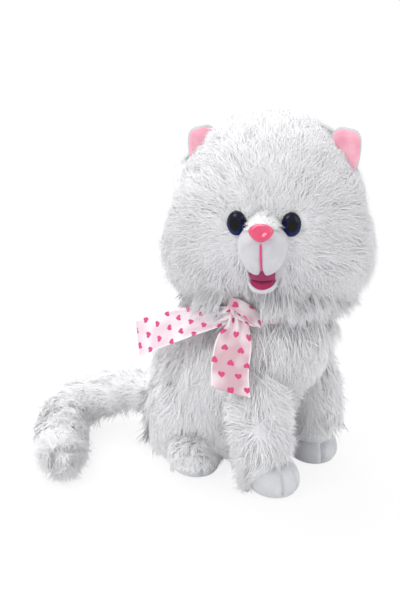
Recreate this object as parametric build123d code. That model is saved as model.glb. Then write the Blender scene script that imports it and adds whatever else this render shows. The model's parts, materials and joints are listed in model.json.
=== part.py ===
from build123d import *
import math
import os

# Interactive plush cat, sitting, with its head turned to its right. Millimetres.
# The cat faces -Y, its left side is +X and it stands on the plane Z = 0.

# ---------------------------------------------------------------- driving sizes
# Neck and head
NECK_Y = -26.0            # vertical axis that the head turns on
HEAD_YAW = 45.0           # the head looks this far to the cat's right
NECK_RADIUS = 37.0        # plush neck below the head
NECK_TOP = 139.4
HEAD_GAP = 0.3            # plush of the head above plush of the neck
RECESS_RADIUS = 54.0      # hollow under the head that takes neck and ribbon
HEAD_TOP = 258.0
HEAD_HALF_WIDTH = 73.0    # over the cheeks
HEAD_FRONT = 54.0
HEAD_BACK = 63.0

# Body
BODY_HALF_WIDTH = 57.0
RUMP_Y = 70.0             # rear of the rump
CHEST_Y = -70.0           # front of the chest
BELLY_Y = -50.0
SOFT_GAP = 0.5            # plush around hard inner parts
WAG_GAP = 2.4             # plush around the sweep of the tail

# Limbs
FRONT_RIGHT_LEG = (-29.0, -54.0)
FRONT_LEFT_LEG = (30.0, -43.0)
FRONT_RIGHT_PAW = (-24.0, -60.0)
FRONT_LEFT_PAW = (30.0, -42.0)
FRONT_LEG_RADIUS = 22.0
HIND_PAW = (48.0, -2.0)
HAUNCH = (43.0, 23.0)
HAUNCH_HALF_WIDTH = 21.0
HAUNCH_HALF_LENGTH = 31.0
HAUNCH_TOP = 74.0
PAW_HALF_WIDTH = 17.5
PAW_HALF_LENGTH = 20.0
PAW_HEIGHT = 27.0

# Tail: axis it wags on, then the points and radii of its route down to the floor
TAIL_AXIS = (-38.0, 46.0)
TAIL_ROOT_RADIUS = 12.0
TAIL_ROOT_Z = 33.0
TAIL_RADIUS = 19.0
TAIL_FLOOR_GAP = 0.4
TAIL_WAG = 15.0
TAIL_ROUTE = (
    (-43, 74, 36, 18),
    (-53, 94, 27, TAIL_RADIUS),
    (-74, 103, TAIL_RADIUS + TAIL_FLOOR_GAP, TAIL_RADIUS),
    (-104, 86, TAIL_RADIUS + TAIL_FLOOR_GAP, TAIL_RADIUS),
    (-125, 49, TAIL_RADIUS + TAIL_FLOOR_GAP, TAIL_RADIUS - 0.5),
    (-134, 31, 11, 7),
)

# Mechanism housing
HOUSING_HALF_WIDTH = 28.0
HOUSING_WALL = 2.0
HOUSING_BOTTOM = 5.0
HOUSING_TOP = 112.0
HOUSING_REAR = 38.0
HOUSING_REAR_TOP = 8.0
HOUSING_SHOULDER = 84.0
HOUSING_FRONT = -46.0
HOUSING_FRONT_LOW = -30.0
HOUSING_FRONT_STEP = 68.0
HOUSING_SPLIT = 4.0
HOUSING_CORNER = 4.0

# Gears
MODULE = 0.8
PRESSURE = math.radians(25)
STUB = 0.8                # tooth height above the pitch line, in modules
ROOT = 1.0                # tooth depth below the pitch line, in modules
BACKLASH = 0.16
PINION_TEETH = 10
NECK_GEAR_TEETH = 40
IDLER_TEETH = 30
TAIL_SECTOR_TEETH = 76    # teeth of the full wheel that the sector is part of
JAW_SECTOR_TEETH = 30
IDLER_ANGLE = 60.0        # seen from the neck axis
MOTOR_ANGLE = 126.87      # seen from the idler

# Neck drive
TUBE_RADIUS = 7.0
SPIGOT_RADIUS = 5.0
RUN_FIT = 0.06            # radial running clearance
NECK_HOLE_GAP = 1.2       # plush around the turning tube
PLATE_Z = 78.0
PLATE_THICK = 2.0
NECK_GEAR_Z = 86.5
NECK_GEAR_WIDTH = 4.0
BUSH_RADIUS = 10.5
BUSH_FLANGE = 13.0
FLANGE_RADIUS = 11.0
CAN_RADIUS = 10.0
CAN_LENGTH = 25.0
SHAFT_RADIUS = 1.0

# Head shell
SKULL_HALF_WIDTH = 30.0
SKULL_FRONT = 36.0
SKULL_BACK = 30.0
SKULL_BOTTOM = 142.0
SKULL_TOP = 214.0
SKULL_WALL = 2.0
SKULL_CORNER = 7.0
SKULL_CROWN = 5.0

# Face
EYE_X = 18.5
EYE_Z = 193.0
EYE_RADIUS = 7.0
EYE_FRONT = 53.5
EYE_SHANK_RADIUS = 1.6
EYE_WASHER_RADIUS = 4.2
NOSE_Z = 197.0
NOSE_FRONT = 79.0
NOSE_HALF_WIDTH = 8.4
MUZZLE_HALF_WIDTH = 17.5
MUZZLE_Z = 181.0
MUZZLE_HALF_HEIGHT = 20.5
LIP_Z = 165.5             # underside of the muzzle
EAR_X = HEAD_HALF_WIDTH - 29.0
EAR_Z = 216.0
EAR_HEIGHT = 32.0
EAR_HALF_WIDTH = 14.0
EAR_THICK = 3.0
EAR_LEAN = 12.0
EAR_LINING_THICK = 1.6
EAR_RIM = 3.0

# Jaw
JAW_FORWARD = 26.0        # hinge, ahead of the neck axis
JAW_Z = 164.0
JAW_HALF_WIDTH = 10.5
MOUTH_HALF_WIDTH = 11.5
MOUTH_BOTTOM = 143.0
MOUTH_BACK = 42.0
MOUTH_FRONT = 68.0
FELT = 1.2
PALATE_DEPTH = 3.2        # the padded palate slants down behind the lip
LEVER_THICK = 5.0
JAW_PIN_RADIUS = 1.5
JAW_ARM_TOP = 157.3       # upper face of the lever's arm, under the chin's tongue
JAW_ARM_THICK = 3.8
CHIN_FRONT = 63.5
CHIN_BACK = 47.0
CHIN_BOTTOM = 151.0
CHIN_TOP = 157.8
TONGUE_THICK = 2.0

# Battery box: three AAA cells lying across the body
CELL_RADIUS = 5.25
CELL_LENGTH = 44.5
CELL_PITCH = 2 * CELL_RADIUS + 0.7
CELL_X = 2.0
CELL_Y = HOUSING_REAR - HOUSING_WALL - CELL_RADIUS - 0.75
CELL_Z = 63.0
TRAY_HALF_WIDTH = CELL_LENGTH / 2 + 1.75
TRAY_FRONT = CELL_Y - CELL_RADIUS - 0.25
TRAY_BOTTOM = CELL_Z - CELL_PITCH - CELL_RADIUS - 0.55
TRAY_TOP = CELL_Z + CELL_PITCH + CELL_RADIUS + 0.55
TRAY_WALL = 1.5
COVER_THICK = 2.0
COVER_MARGIN = 1.4

# Access flap in the back
FLAP_X = CELL_X
FLAP_HALF_WIDTH = TRAY_HALF_WIDTH + 0.6
FLAP_GAP = 0.5
FLAP_TOP = TRAY_TOP + 5.0
FLAP_BOTTOM = TRAY_BOTTOM - 7.5
FLAP_INNER = 41.2
HOOK_THICK = 0.7          # hook tape that holds the flap shut

# Ribbon
RIBBON_WIDTH = 25.0
RIBBON_THICK = 0.8
BAND_RADIUS = 38.2
BAND_BOTTOM = 121.0
BAND_TOP = 134.0
BOW_ANGLE = 207.0         # where the bow sits, seen from the neck axis
BOW_RADIUS = 44.8
BOW_Z = 132.0

# Chest button and power switch
BUTTON_Z = 100.0
BUTTON_RADIUS = 6.0
BUTTON_TRAVEL = 1.2
SWITCH_X = 16.0
SWITCH_Z = TRAY_BOTTOM - 4.5
SWITCH_TRAVEL = 4.0
KNOB_HALF = 1.9
SLOT_GAP = 0.3            # switch slot around the knob at both ends

TALL = 400.0              # longer than any part, for cutting tools


# ---------------------------------------------------------------- helpers
def save(shape, node):
    os.makedirs("parts", exist_ok=True)
    export_step(shape, f"parts/{node}.step")


def group(solids):
    return Compound(children=list(solids))


def box(x_range, y_range, z_range):
    """A block between two limits on each axis."""
    size = [r[1] - r[0] for r in (x_range, y_range, z_range)]
    middle = [(r[0] + r[1]) / 2 for r in (x_range, y_range, z_range)]
    return Pos(*middle) * Box(*size)


def disc(radius, z_range, x=0.0, y=0.0):
    """An upright cylinder between two heights."""
    return Pos(x, y, (z_range[0] + z_range[1]) / 2) * Cylinder(radius, z_range[1] - z_range[0])


def rod_y(radius, y_range, x=0.0, z=0.0):
    """A cylinder that lies along Y."""
    middle = (y_range[0] + y_range[1]) / 2
    return Pos(x, middle, z) * Rot(90, 0, 0) * Cylinder(radius, y_range[1] - y_range[0])


def rod_x(radius, x_range, y=0.0, z=0.0):
    """A cylinder that lies along X."""
    middle = (x_range[0] + x_range[1]) / 2
    return Pos(middle, y, z) * Rot(0, 90, 0) * Cylinder(radius, x_range[1] - x_range[0])


def oval(half_x, half_y):
    """Closed outline of four tangent arcs, each under a half circle."""
    wide, narrow = max(half_x, half_y), min(half_x, half_y)
    if wide - narrow < 0.01:
        join_wide = join_narrow = wide / math.sqrt(2)
    else:
        end = narrow * (0.3 + 0.7 * narrow / wide)
        side = (wide**2 + narrow**2 - 2 * wide * end) / (2 * (narrow - end))
        along, across = (wide - end) / (side - end), (side - narrow) / (side - end)
        join_wide, join_narrow = wide - end + end * along, end * across
    jx, jy = (join_wide, join_narrow) if half_x >= half_y else (join_narrow, join_wide)
    return Wire([
        ThreePointArc((jx, -jy), (half_x, 0), (jx, jy)),
        ThreePointArc((jx, jy), (0, half_y), (-jx, jy)),
        ThreePointArc((-jx, jy), (-half_x, 0), (-jx, -jy)),
        ThreePointArc((-jx, -jy), (0, -half_y), (jx, -jy)),
    ])


def swell(sections, x=0.0, y=0.0):
    """A stuffed form: a loft through level ovals (z, half width, front y, rear y)."""
    wires = []
    for z, half_x, front, rear in sections:
        wires.append(Pos(x, y + (front + rear) / 2, z) * oval(half_x, (rear - front) / 2))
    return Solid.make_loft(wires)


def limb(route):
    """A stuffed form along a route of (x, y, z, radius): a loft through circles."""
    wires = []
    for i, (x, y, z, radius) in enumerate(route):
        before = Vector(*route[max(i - 1, 0)][:3])
        after = Vector(*route[min(i + 1, len(route) - 1)][:3])
        across = Plane(origin=(x, y, z), z_dir=after - before, x_dir=(0, 0, 1))
        wires.append(across.location * oval(radius, radius))
    return Solid.make_loft(wires)


def head_place(shape):
    """Moves a piece from the head's own frame, where it looks along -Y, to the cat."""
    frame = Pos(0, NECK_Y, 0) * Rot(0, 0, -HEAD_YAW)
    if isinstance(shape, list):
        return group([frame * solid for solid in shape])
    return frame * shape


def polar(radius, degrees, origin=(0.0, 0.0)):
    angle = math.radians(degrees)
    return (origin[0] + radius * math.cos(angle), origin[1] + radius * math.sin(angle))


# ---------------------------------------------------------------- gears
def pitch_radius(teeth):
    return MODULE * teeth / 2


def tooth_outline(teeth, middle_degrees):
    """One involute stub tooth, from root to root, as points around its middle."""
    pitch = pitch_radius(teeth)
    base = pitch * math.cos(PRESSURE)
    tip, root = pitch + STUB * MODULE, pitch - ROOT * MODULE
    half_pitch = math.pi / (2 * teeth) - BACKLASH / (2 * pitch)

    def half_angle(radius):
        lean = math.acos(min(1.0, base / radius)) if radius > base else 0.0
        return half_pitch + (math.tan(PRESSURE) - PRESSURE) - (math.tan(lean) - lean)

    flank = [(radius, half_angle(radius)) for radius in (root, max(base, root + 0.05), pitch, tip)]
    middle = math.radians(middle_degrees)
    right = [(r * math.cos(middle - a), r * math.sin(middle - a)) for r, a in flank]
    left = [(r * math.cos(middle + a), r * math.sin(middle + a)) for r, a in reversed(flank)]
    return right + left


def gear(teeth, z_range, phase=0.0, bore=0.0):
    """A spur gear about Z, with a tooth centred at the phase angle."""
    points = []
    for i in range(teeth):
        points += tooth_outline(teeth, phase + 360 / teeth * i)
    blank = extrude(make_face(Polyline(*points, close=True)), z_range[1] - z_range[0])
    wheel = Pos(0, 0, z_range[0]) * blank
    return wheel - disc(bore, (z_range[0] - 1, z_range[1] + 1)) if bore else wheel


def sector(teeth, count, z_range, middle):
    """Part of a spur gear: count teeth around the middle angle, and the hub behind them."""
    points = [(0.0, 0.0)]
    for i in range(count):
        points += tooth_outline(teeth, middle + 360 / teeth * (i - (count - 1) / 2))
    blank = extrude(make_face(Polyline(*points, close=True)), z_range[1] - z_range[0])
    return Pos(0, 0, z_range[0]) * blank


def meshing_phase(phase, teeth, other_teeth, direction):
    """Phase of a gear that meshes, across the given direction, with one of known phase."""
    step = 360 / teeth
    offset = (phase - direction + step / 2) % step - step / 2
    return direction + 180 - offset * teeth / other_teeth + 180 / other_teeth


# ---------------------------------------------------------------- shared places
IDLER_AT = polar(pitch_radius(NECK_GEAR_TEETH + PINION_TEETH), IDLER_ANGLE, (0, NECK_Y))
NECK_MOTOR_AT = polar(pitch_radius(IDLER_TEETH + PINION_TEETH), MOTOR_ANGLE, IDLER_AT)
TAIL_PINION_ANGLE = -50.3
TAIL_MESH = pitch_radius(TAIL_SECTOR_TEETH + PINION_TEETH)
TAIL_MOTOR_AT = polar(TAIL_MESH, TAIL_PINION_ANGLE, TAIL_AXIS)
LUG_LOW = (6.5, 10.0)
SECTOR_Z = (11.0, 14.8)
LUG_HIGH = (15.8, 19.0)
TAIL_SHELF = LUG_HIGH[1] + 0.8
LUG_RADIUS = 6.0
SECTOR_SWEEP = pitch_radius(TAIL_SECTOR_TEETH) + STUB * MODULE + 0.6
POST_RADIUS = 4.0
POSTS = ((-22.5, 104.0), (22.5, 104.0), (22.5, 20.0), (2.0, 13.5))
INNER_HALF_WIDTH = HOUSING_HALF_WIDTH - HOUSING_WALL
TAIL_CAN_RADIUS = 6.0
TAIL_CAN_BOTTOM = SECTOR_Z[1] + 2.0
SPEAKER_Z = 41.0
SPEAKER_RADIUS = 18.0
SPEAKER_DEPTH = 12.0
WALL_FRONT = HOUSING_FRONT_LOW + HOUSING_WALL
WALL_CHEST = HOUSING_FRONT + HOUSING_WALL
WALL_REAR = HOUSING_REAR - HOUSING_WALL
PCB_Y = (8.0, 9.6)
PCB_Z = (26.0, 50.0)
BUTTON_STEM = 4.0
POST_OUTER = 3.4
POST_BORE = 1.05
TAIL_AHEAD = math.degrees(math.atan2(TAIL_ROUTE[0][1] - TAIL_AXIS[1], TAIL_ROUTE[0][0] - TAIL_AXIS[0]))


# ---------------------------------------------------------------- body plush
def body_form():
    """The sitting body from its flat seat to the neck."""
    return swell([
        (0, BODY_HALF_WIDTH - 12, -36, RUMP_Y - 10),
        (16, BODY_HALF_WIDTH - 3, -44, RUMP_Y - 1),
        (46, BODY_HALF_WIDTH, BELLY_Y, RUMP_Y),
        (84, BODY_HALF_WIDTH - 3, CHEST_Y + 5, RUMP_Y - 17),
        (114, BODY_HALF_WIDTH - 11, CHEST_Y, RUMP_Y - 48),
        (NECK_TOP, NECK_RADIUS, NECK_Y - NECK_RADIUS, NECK_Y + NECK_RADIUS),
    ])


def housing_profile():
    """Side view of the mechanism housing, in Y and Z."""
    corners = [
        (HOUSING_REAR, HOUSING_BOTTOM),
        (HOUSING_REAR, HOUSING_SHOULDER),
        (HOUSING_REAR_TOP, HOUSING_TOP),
        (HOUSING_FRONT, HOUSING_TOP),
        (HOUSING_FRONT, HOUSING_FRONT_STEP + 16),
        (HOUSING_FRONT_LOW, HOUSING_FRONT_STEP),
        (HOUSING_FRONT_LOW, HOUSING_BOTTOM),
    ]
    return make_face(Polyline(*corners, close=True))


def housing_block(grow):
    """The housing's outer block, grown or shrunk all round."""
    profile = offset(housing_profile(), amount=grow, kind=Kind.INTERSECTION)
    half = HOUSING_HALF_WIDTH + grow
    block = extrude(Plane.YZ * profile, amount=half, both=True)
    corner = max(HOUSING_CORNER + grow, 1.0)
    return fillet(block.edges().filter_by(Axis.Z), corner)


def tail_fan(clearance):
    """Space that the root of the tail sweeps, as an upright fan from its axis."""
    near, reach = TAIL_ROOT_RADIUS + clearance, 34.0
    far = TAIL_RADIUS + reach * math.tan(math.radians(TAIL_WAG)) + clearance
    fan = make_face(Polyline((0, -near), (reach, -far), (reach, far), (0, near), close=True))
    height = TAIL_ROUTE[0][2] + TAIL_ROUTE[0][3] + 5 - TAIL_SHELF
    space = extrude(fan, height) + disc(near, (0, height))
    return Pos(*TAIL_AXIS, TAIL_SHELF) * Rot(0, 0, TAIL_AHEAD) * space


def haunch_form(side):
    x, y = HAUNCH
    return swell([
        (0, HAUNCH_HALF_WIDTH - 6, -HAUNCH_HALF_LENGTH + 7, HAUNCH_HALF_LENGTH - 8),
        (20, HAUNCH_HALF_WIDTH, -HAUNCH_HALF_LENGTH, HAUNCH_HALF_LENGTH),
        (50, HAUNCH_HALF_WIDTH - 3, -HAUNCH_HALF_LENGTH + 4, HAUNCH_HALF_LENGTH - 4),
        (HAUNCH_TOP, HAUNCH_HALF_WIDTH - 13, -12, 12),
    ], side * x, y)


def front_leg_form(x, y):
    lean = 6.0
    radius = FRONT_LEG_RADIUS
    return swell([
        (8, radius - 6, -radius + 6, radius - 6),
        (34, radius, -radius, radius),
        (68, radius - 1, -radius + lean, radius + lean),
        (96, radius - 8, -radius + 2 * lean, radius + lean - 8),
    ], x, y)


def paw_form(x, y):
    width, length, height = PAW_HALF_WIDTH, PAW_HALF_LENGTH, PAW_HEIGHT
    return swell([
        (0, width - 4, -length + 4, length - 4),
        (8, width, -length, length),
        (20, width - 3, -length + 5, length - 5),
        (height, width - 10, -length + 13, length - 12),
    ], x, y)


def neck_groove():
    """Ring cut into the neck plush for the ribbon's band."""
    ring = disc(BAND_RADIUS + 20, (BAND_BOTTOM - SOFT_GAP, NECK_TOP + 1), 0, NECK_Y)
    return ring - disc(BAND_RADIUS - 0.3, (0, TALL), 0, NECK_Y)


def flap_space(inner_y, half_width, bottom, top):
    return box((FLAP_X - half_width, FLAP_X + half_width), (inner_y, RUMP_Y + 20), (bottom, top))


def button_space():
    """Room in the chest plush for the button's cap."""
    return rod_y(BUTTON_RADIUS + 1, (HOUSING_FRONT - 5, HOUSING_FRONT + 1), 0, BUTTON_Z)


def lug_room():
    """Room in the plush for the tail's two lugs and its gear sector."""
    x, y = TAIL_AXIS
    height = (LUG_LOW[0] - 1.9, TAIL_SHELF + 0.1)
    room = disc(LUG_RADIUS + 1, height, x, y)
    arm = box((x - LUG_RADIUS - 1, x + 12), (HOUSING_REAR - 12, y), height)
    swing = disc(SECTOR_SWEEP, (SECTOR_Z[0] - 0.6, SECTOR_Z[1] + 0.6), x, y)
    return room + arm + (swing & box((x - 12, 0), (0, y + 6), (0, TALL)))


body = body_form()
hinge_y = max(v.Y for v in (body & box((-5, 5), (0, 200), (FLAP_TOP - 0.02, FLAP_TOP))).vertices())
HINGE_Y = round(hinge_y + 0.2, 2)

flap_block = flap_space(FLAP_INNER, FLAP_HALF_WIDTH, FLAP_BOTTOM - 5, FLAP_TOP - FLAP_GAP)
FLAP_SWING = FLAP_TOP - FLAP_BOTTOM - HOOK_THICK - 0.5
flap_round = rod_x(FLAP_SWING, (-TALL, TALL), HINGE_Y, FLAP_TOP)
tail_room = tail_fan(WAG_GAP)
back_flap = (body & flap_block & flap_round) - tail_room

torso = body - housing_block(SOFT_GAP)
torso -= flap_space(HOUSING_REAR, FLAP_HALF_WIDTH + FLAP_GAP, FLAP_BOTTOM, FLAP_TOP)
torso -= neck_groove()
torso -= disc(TUBE_RADIUS + NECK_HOLE_GAP, (HOUSING_TOP - 5, TALL), 0, NECK_Y)
torso -= disc(BUSH_FLANGE + 1, (HOUSING_TOP - 1, HOUSING_TOP + 4.5), 0, NECK_Y)
torso -= tail_room
torso -= lug_room()
torso -= button_space()
save(torso, "torso")
save(back_flap, "back_flap")

hook_strip = box((FLAP_X - 18, FLAP_X + 18), (FLAP_INNER + 2, FLAP_INNER + 10),
                 (FLAP_BOTTOM, FLAP_BOTTOM + HOOK_THICK))
save(hook_strip, "flap_hook_strip")

right_haunch = haunch_form(-1) - body - tail_room - lug_room()
left_haunch = haunch_form(1) - body
right_leg = front_leg_form(*FRONT_RIGHT_LEG) - body
left_leg = front_leg_form(*FRONT_LEFT_LEG) - body - right_leg
save(right_haunch, "hind_leg_right")
save(left_haunch, "hind_leg_left")
save(right_leg, "front_leg_right")
save(left_leg, "front_leg_left")

save(paw_form(*FRONT_RIGHT_PAW) - body - right_leg, "front_paw_right")
save(paw_form(*FRONT_LEFT_PAW) - body - left_leg, "front_paw_left")
save(paw_form(-HIND_PAW[0], HIND_PAW[1]) - body - right_haunch, "hind_paw_right")
save(paw_form(*HIND_PAW) - body - left_haunch, "hind_paw_left")


# ---------------------------------------------------------------- tail
def tail_form():
    """The stuffed tail: a narrow root, an even middle and a rounded tip."""
    ux, uy = polar(1, TAIL_AHEAD)
    x, y = TAIL_AXIS
    root = TAIL_ROOT_RADIUS
    route = [(x + ux * t, y + uy * t, TAIL_ROOT_Z, r) for t, r in ((-9, root - 5), (2, root))]
    return limb(route + list(TAIL_ROUTE))


tail_core = disc(POST_RADIUS, (LUG_LOW[0] - 0.3, TAIL_ROOT_Z + 9), *TAIL_AXIS)
paddle = Rot(0, 0, TAIL_AHEAD) * box((0, 24), (-1.5, 1.5), (TAIL_ROOT_Z - 6, TAIL_ROOT_Z + 8))
tail_core += Pos(*TAIL_AXIS, 0) * paddle
tail_core += disc(POST_RADIUS + 1.2, (LUG_LOW[0] - 1.3, LUG_LOW[0] - 0.3), *TAIL_AXIS)
tail_core += disc(POST_RADIUS + 1.8, (LUG_HIGH[1] + 0.3, LUG_HIGH[1] + 1.5), *TAIL_AXIS)
tail_sector = sector(TAIL_SECTOR_TEETH, 11, SECTOR_Z, TAIL_PINION_ANGLE)
tail_sector += disc(POST_RADIUS + 2.0, SECTOR_Z)
tail_core += Pos(*TAIL_AXIS, 0) * tail_sector
save(tail_core, "tail_core")
save(tail_form() - tail_core, "tail")


# ---------------------------------------------------------------- ribbon
BOW_X, BOW_Y = polar(BOW_RADIUS, BOW_ANGLE, (0, NECK_Y))


def ribbon_band():
    ring = disc(BAND_RADIUS + RIBBON_THICK, (BAND_BOTTOM, BAND_TOP), 0, NECK_Y)
    return ring - disc(BAND_RADIUS, (0, TALL), 0, NECK_Y)


def knot_form():
    knot = Solid.make_loft([
        Plane(origin=polar(r, BOW_ANGLE, (0, NECK_Y)) + (BOW_Z,), z_dir=polar(1, BOW_ANGLE) + (0,)).location
        * oval(half, half * 0.8)
        for r, half in ((BAND_RADIUS + 1.0, 4.5), (BOW_RADIUS, 6.5), (BOW_RADIUS + 3.5, 4.0))
    ])
    return knot


def strip(route, width):
    """A length of ribbon: a ruled sheet through (x, y, z, half width, slope) lines."""
    wires = []
    for i, (x, y, z, half) in enumerate(route):
        before = Vector(*route[max(i - 1, 0)][:3])
        after = Vector(*route[min(i + 1, len(route) - 1)][:3])
        frame = Plane(origin=(x, y, z), z_dir=after - before, x_dir=width)
        wires.append(frame.location * Wire.make_rect(2 * half, RIBBON_THICK))
    return Solid.make_loft(wires)


half = RIBBON_WIDTH / 2
knot = knot_form()
hanging = strip([
    (BOW_X - 0.5, BOW_Y - 4.0, BOW_Z - 2, 5.0),
    (BOW_X - 3.0, BOW_Y - 6.5, BOW_Z - 9, 8.5),
    (BOW_X - 9.5, BOW_Y - 6.0, BOW_Z - 19, half),
    (BOW_X - 15.5, BOW_Y - 7.5, BOW_Z - 36, half),
    (BOW_X - 18.5, BOW_Y - 8.0, BOW_Z - 54, half),
], (0.77, -0.64, 0))
trailing = strip([
    (BOW_X - 4.0, BOW_Y + 1.0, BOW_Z, 5.0),
    (BOW_X - 12.0, BOW_Y + 9.0, BOW_Z - 3.5, 8.0),
    (BOW_X - 22.0, BOW_Y + 27.0, BOW_Z - 10, half - 2),
    (BOW_X - 31.0, BOW_Y + 48.0, BOW_Z - 20, half - 1),
    (BOW_X - 38.5, BOW_Y + 69.0, BOW_Z - 31, half - 1),
], (0.62, 0.0, 0.78))


def loop_form():
    """The pressed-flat loop of the bow: a ribbon that goes out and comes back."""
    reach, depth = 19.0, 2.4
    outer = Pos(reach / 2, 0, 0) * SlotOverall(reach, 2 * depth)
    inner = Pos(reach / 2, 0, 0) * SlotOverall(reach - 2 * RIBBON_THICK, 2 * depth - 2 * RIBBON_THICK)
    loop = extrude(outer - inner, amount=6.0, both=True)
    start = (BOW_X - 5.0, BOW_Y - 4.5, BOW_Z + 0.5)
    frame = Plane(origin=start, x_dir=(0.72, -0.52, -0.46), z_dir=(0.52, 0, 0.85))
    return frame.location * loop


loop = loop_form() - knot - hanging
hanging = hanging - knot
trailing = trailing - knot - hanging
save(ribbon_band(), "ribbon_band")
save(knot, "ribbon_knot")
save(loop, "ribbon_loop")
save(hanging, "ribbon_tail_hanging")
save(trailing, "ribbon_tail_trailing")


# ---------------------------------------------------------------- mechanism housing
def shell_half(front):
    wall = housing_block(0) - housing_block(-HOUSING_WALL)
    span = (-TALL, HOUSING_SPLIT) if front else (HOUSING_SPLIT, TALL)
    return wall & box((-TALL, TALL), span, (0, TALL))


def grille():
    """Sound slots in the low front wall, shorter towards the sides."""
    slots = []
    for i in range(-3, 4):
        reach = math.sqrt(14.0**2 - (4.0 * i)**2)
        slots.append(box((4.0 * i - 0.8, 4.0 * i + 0.8), (HOUSING_FRONT_LOW - 1, HOUSING_FRONT_LOW + 3),
                         (SPEAKER_Z - reach, SPEAKER_Z + reach)))
    return slots


front_shell = shell_half(True)
front_shell -= disc(BUSH_RADIUS, (HOUSING_TOP - 5, HOUSING_TOP + 5), 0, NECK_Y)
front_shell -= rod_y(BUTTON_STEM + RUN_FIT, (HOUSING_FRONT - 1, WALL_CHEST + 1), 0, BUTTON_Z)
for slot in grille():
    front_shell -= slot
rim = rod_y(SPEAKER_RADIUS + 1.6, (WALL_FRONT, WALL_FRONT + 5), 0, SPEAKER_Z)
front_shell += rim - rod_y(SPEAKER_RADIUS + 0.2, (WALL_FRONT, WALL_FRONT + 6), 0, SPEAKER_Z)
for side in (-1, 1):
    edge = sorted((side * INNER_HALF_WIDTH, side * (INNER_HALF_WIDTH - 2)))
    front_shell += box(edge, (-24, HOUSING_SPLIT), (PLATE_Z - 3, PLATE_Z))
    rib = sorted((side * 4.6, side * 6.2))
    front_shell += box(rib, (WALL_CHEST, WALL_CHEST + 7), (BUTTON_Z - 4, BUTTON_Z + 4))
for x, z in POSTS:
    start = WALL_CHEST if z > HOUSING_SHOULDER else WALL_FRONT
    front_shell += rod_y(POST_OUTER, (start, HOUSING_SPLIT), x, z)
    front_shell -= rod_y(POST_BORE, (HOUSING_SPLIT - 9, HOUSING_SPLIT + 1), x, z)

rear_shell = shell_half(False)
inside = housing_block(-HOUSING_WALL / 2)
tray = box((-INNER_HALF_WIDTH, INNER_HALF_WIDTH), (TRAY_FRONT - TRAY_WALL, WALL_REAR),
           (TRAY_BOTTOM - TRAY_WALL, TRAY_TOP + TRAY_WALL))
rear_shell += tray
rear_shell += rod_y(3.0, (WALL_REAR - 8, WALL_REAR), 0, TRAY_BOTTOM - TRAY_WALL - 2)
for x, z in POSTS:
    rear_shell += rod_y(POST_OUTER, (HOUSING_SPLIT, HOUSING_REAR), x, z) & inside
for x, z in POSTS:
    rear_shell -= rod_y(2.3, (HOUSING_SPLIT + 2.5, TALL), x, z)
    rear_shell -= rod_y(POST_BORE + 0.3, (0, HOUSING_REAR), x, z)
tray_left, tray_right = CELL_X - TRAY_HALF_WIDTH, CELL_X + TRAY_HALF_WIDTH
rear_shell -= box((tray_left, tray_right), (TRAY_FRONT, WALL_REAR), (TRAY_BOTTOM, TRAY_TOP))
rear_shell -= box((tray_left + 1, tray_right - 1), (WALL_REAR - 1, TALL), (TRAY_BOTTOM + 1, TRAY_TOP - 1))
rear_shell -= rod_y(POST_BORE, (WALL_REAR - 7, TALL), 0, TRAY_BOTTOM - TRAY_WALL - 2)
slot_start, slot_end = SWITCH_X - KNOB_HALF - SLOT_GAP, SWITCH_X + KNOB_HALF + SWITCH_TRAVEL + SLOT_GAP
rear_shell -= box((slot_start, slot_end), (WALL_REAR - 1, TALL), (SWITCH_Z - 1.7, SWITCH_Z + 1.7))
for side in (-1, 1):
    edge = sorted((side * (INNER_HALF_WIDTH - 2), side * INNER_HALF_WIDTH))
    for low, high in ((PCB_Y[0] - 1.6, PCB_Y[0] - 0.2), (PCB_Y[1] + 0.2, PCB_Y[1] + 1.6)):
        rear_shell += box(edge, (max(low, HOUSING_SPLIT), high), PCB_Z)

tail_x, tail_y = TAIL_AXIS
for low, high in (LUG_LOW, LUG_HIGH):
    lug = disc(LUG_RADIUS, (low, high), tail_x, tail_y)
    lug += box((tail_x - LUG_RADIUS, tail_x + LUG_RADIUS), (HOUSING_REAR - 10, tail_y), (low, high))
    lug += box((tail_x, -HOUSING_HALF_WIDTH + 1.5), (HOUSING_REAR - 10, HOUSING_REAR - 1), (low, high))
    lug -= housing_block(-HOUSING_WALL / 2)
    rear_shell += lug
    rear_shell -= disc(POST_RADIUS + RUN_FIT, (low - 1, high + 1), tail_x, tail_y)
rear_shell -= disc(SECTOR_SWEEP, (SECTOR_Z[0] - 0.5, SECTOR_Z[1] + 0.5), tail_x, tail_y)
seat_x, seat_y = TAIL_MOTOR_AT
clamp_z = (TAIL_CAN_BOTTOM + 2, TAIL_CAN_BOTTOM + 10)
clamp = disc(TAIL_CAN_RADIUS + 1.6, clamp_z, seat_x, seat_y)
clamp += box((seat_x - 2, seat_x + 2), (seat_y, WALL_REAR + 0.5), clamp_z)
rear_shell += clamp
rear_shell -= disc(TAIL_CAN_RADIUS + 0.1, (clamp_z[0] - 1, clamp_z[1] + 1), seat_x, seat_y)
save(front_shell, "housing_front")
save(rear_shell, "housing_rear")


# ---------------------------------------------------------------- screws
def screw(length, shank, head_radius, head_depth):
    """A pan-head screw along -Y: its head sits at positive Y from the origin."""
    body = rod_y(shank, (-length, 0)) + rod_y(head_radius, (0, head_depth))
    return body - box((-head_radius, head_radius), (head_depth - 0.7, head_depth + 1), (-0.35, 0.35))


screws = [Pos(x, HOUSING_SPLIT + 2.5, z) * screw(10, 1.0, 2.1, 1.6) for x, z in POSTS]
save(group(screws), "housing_screws")


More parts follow.
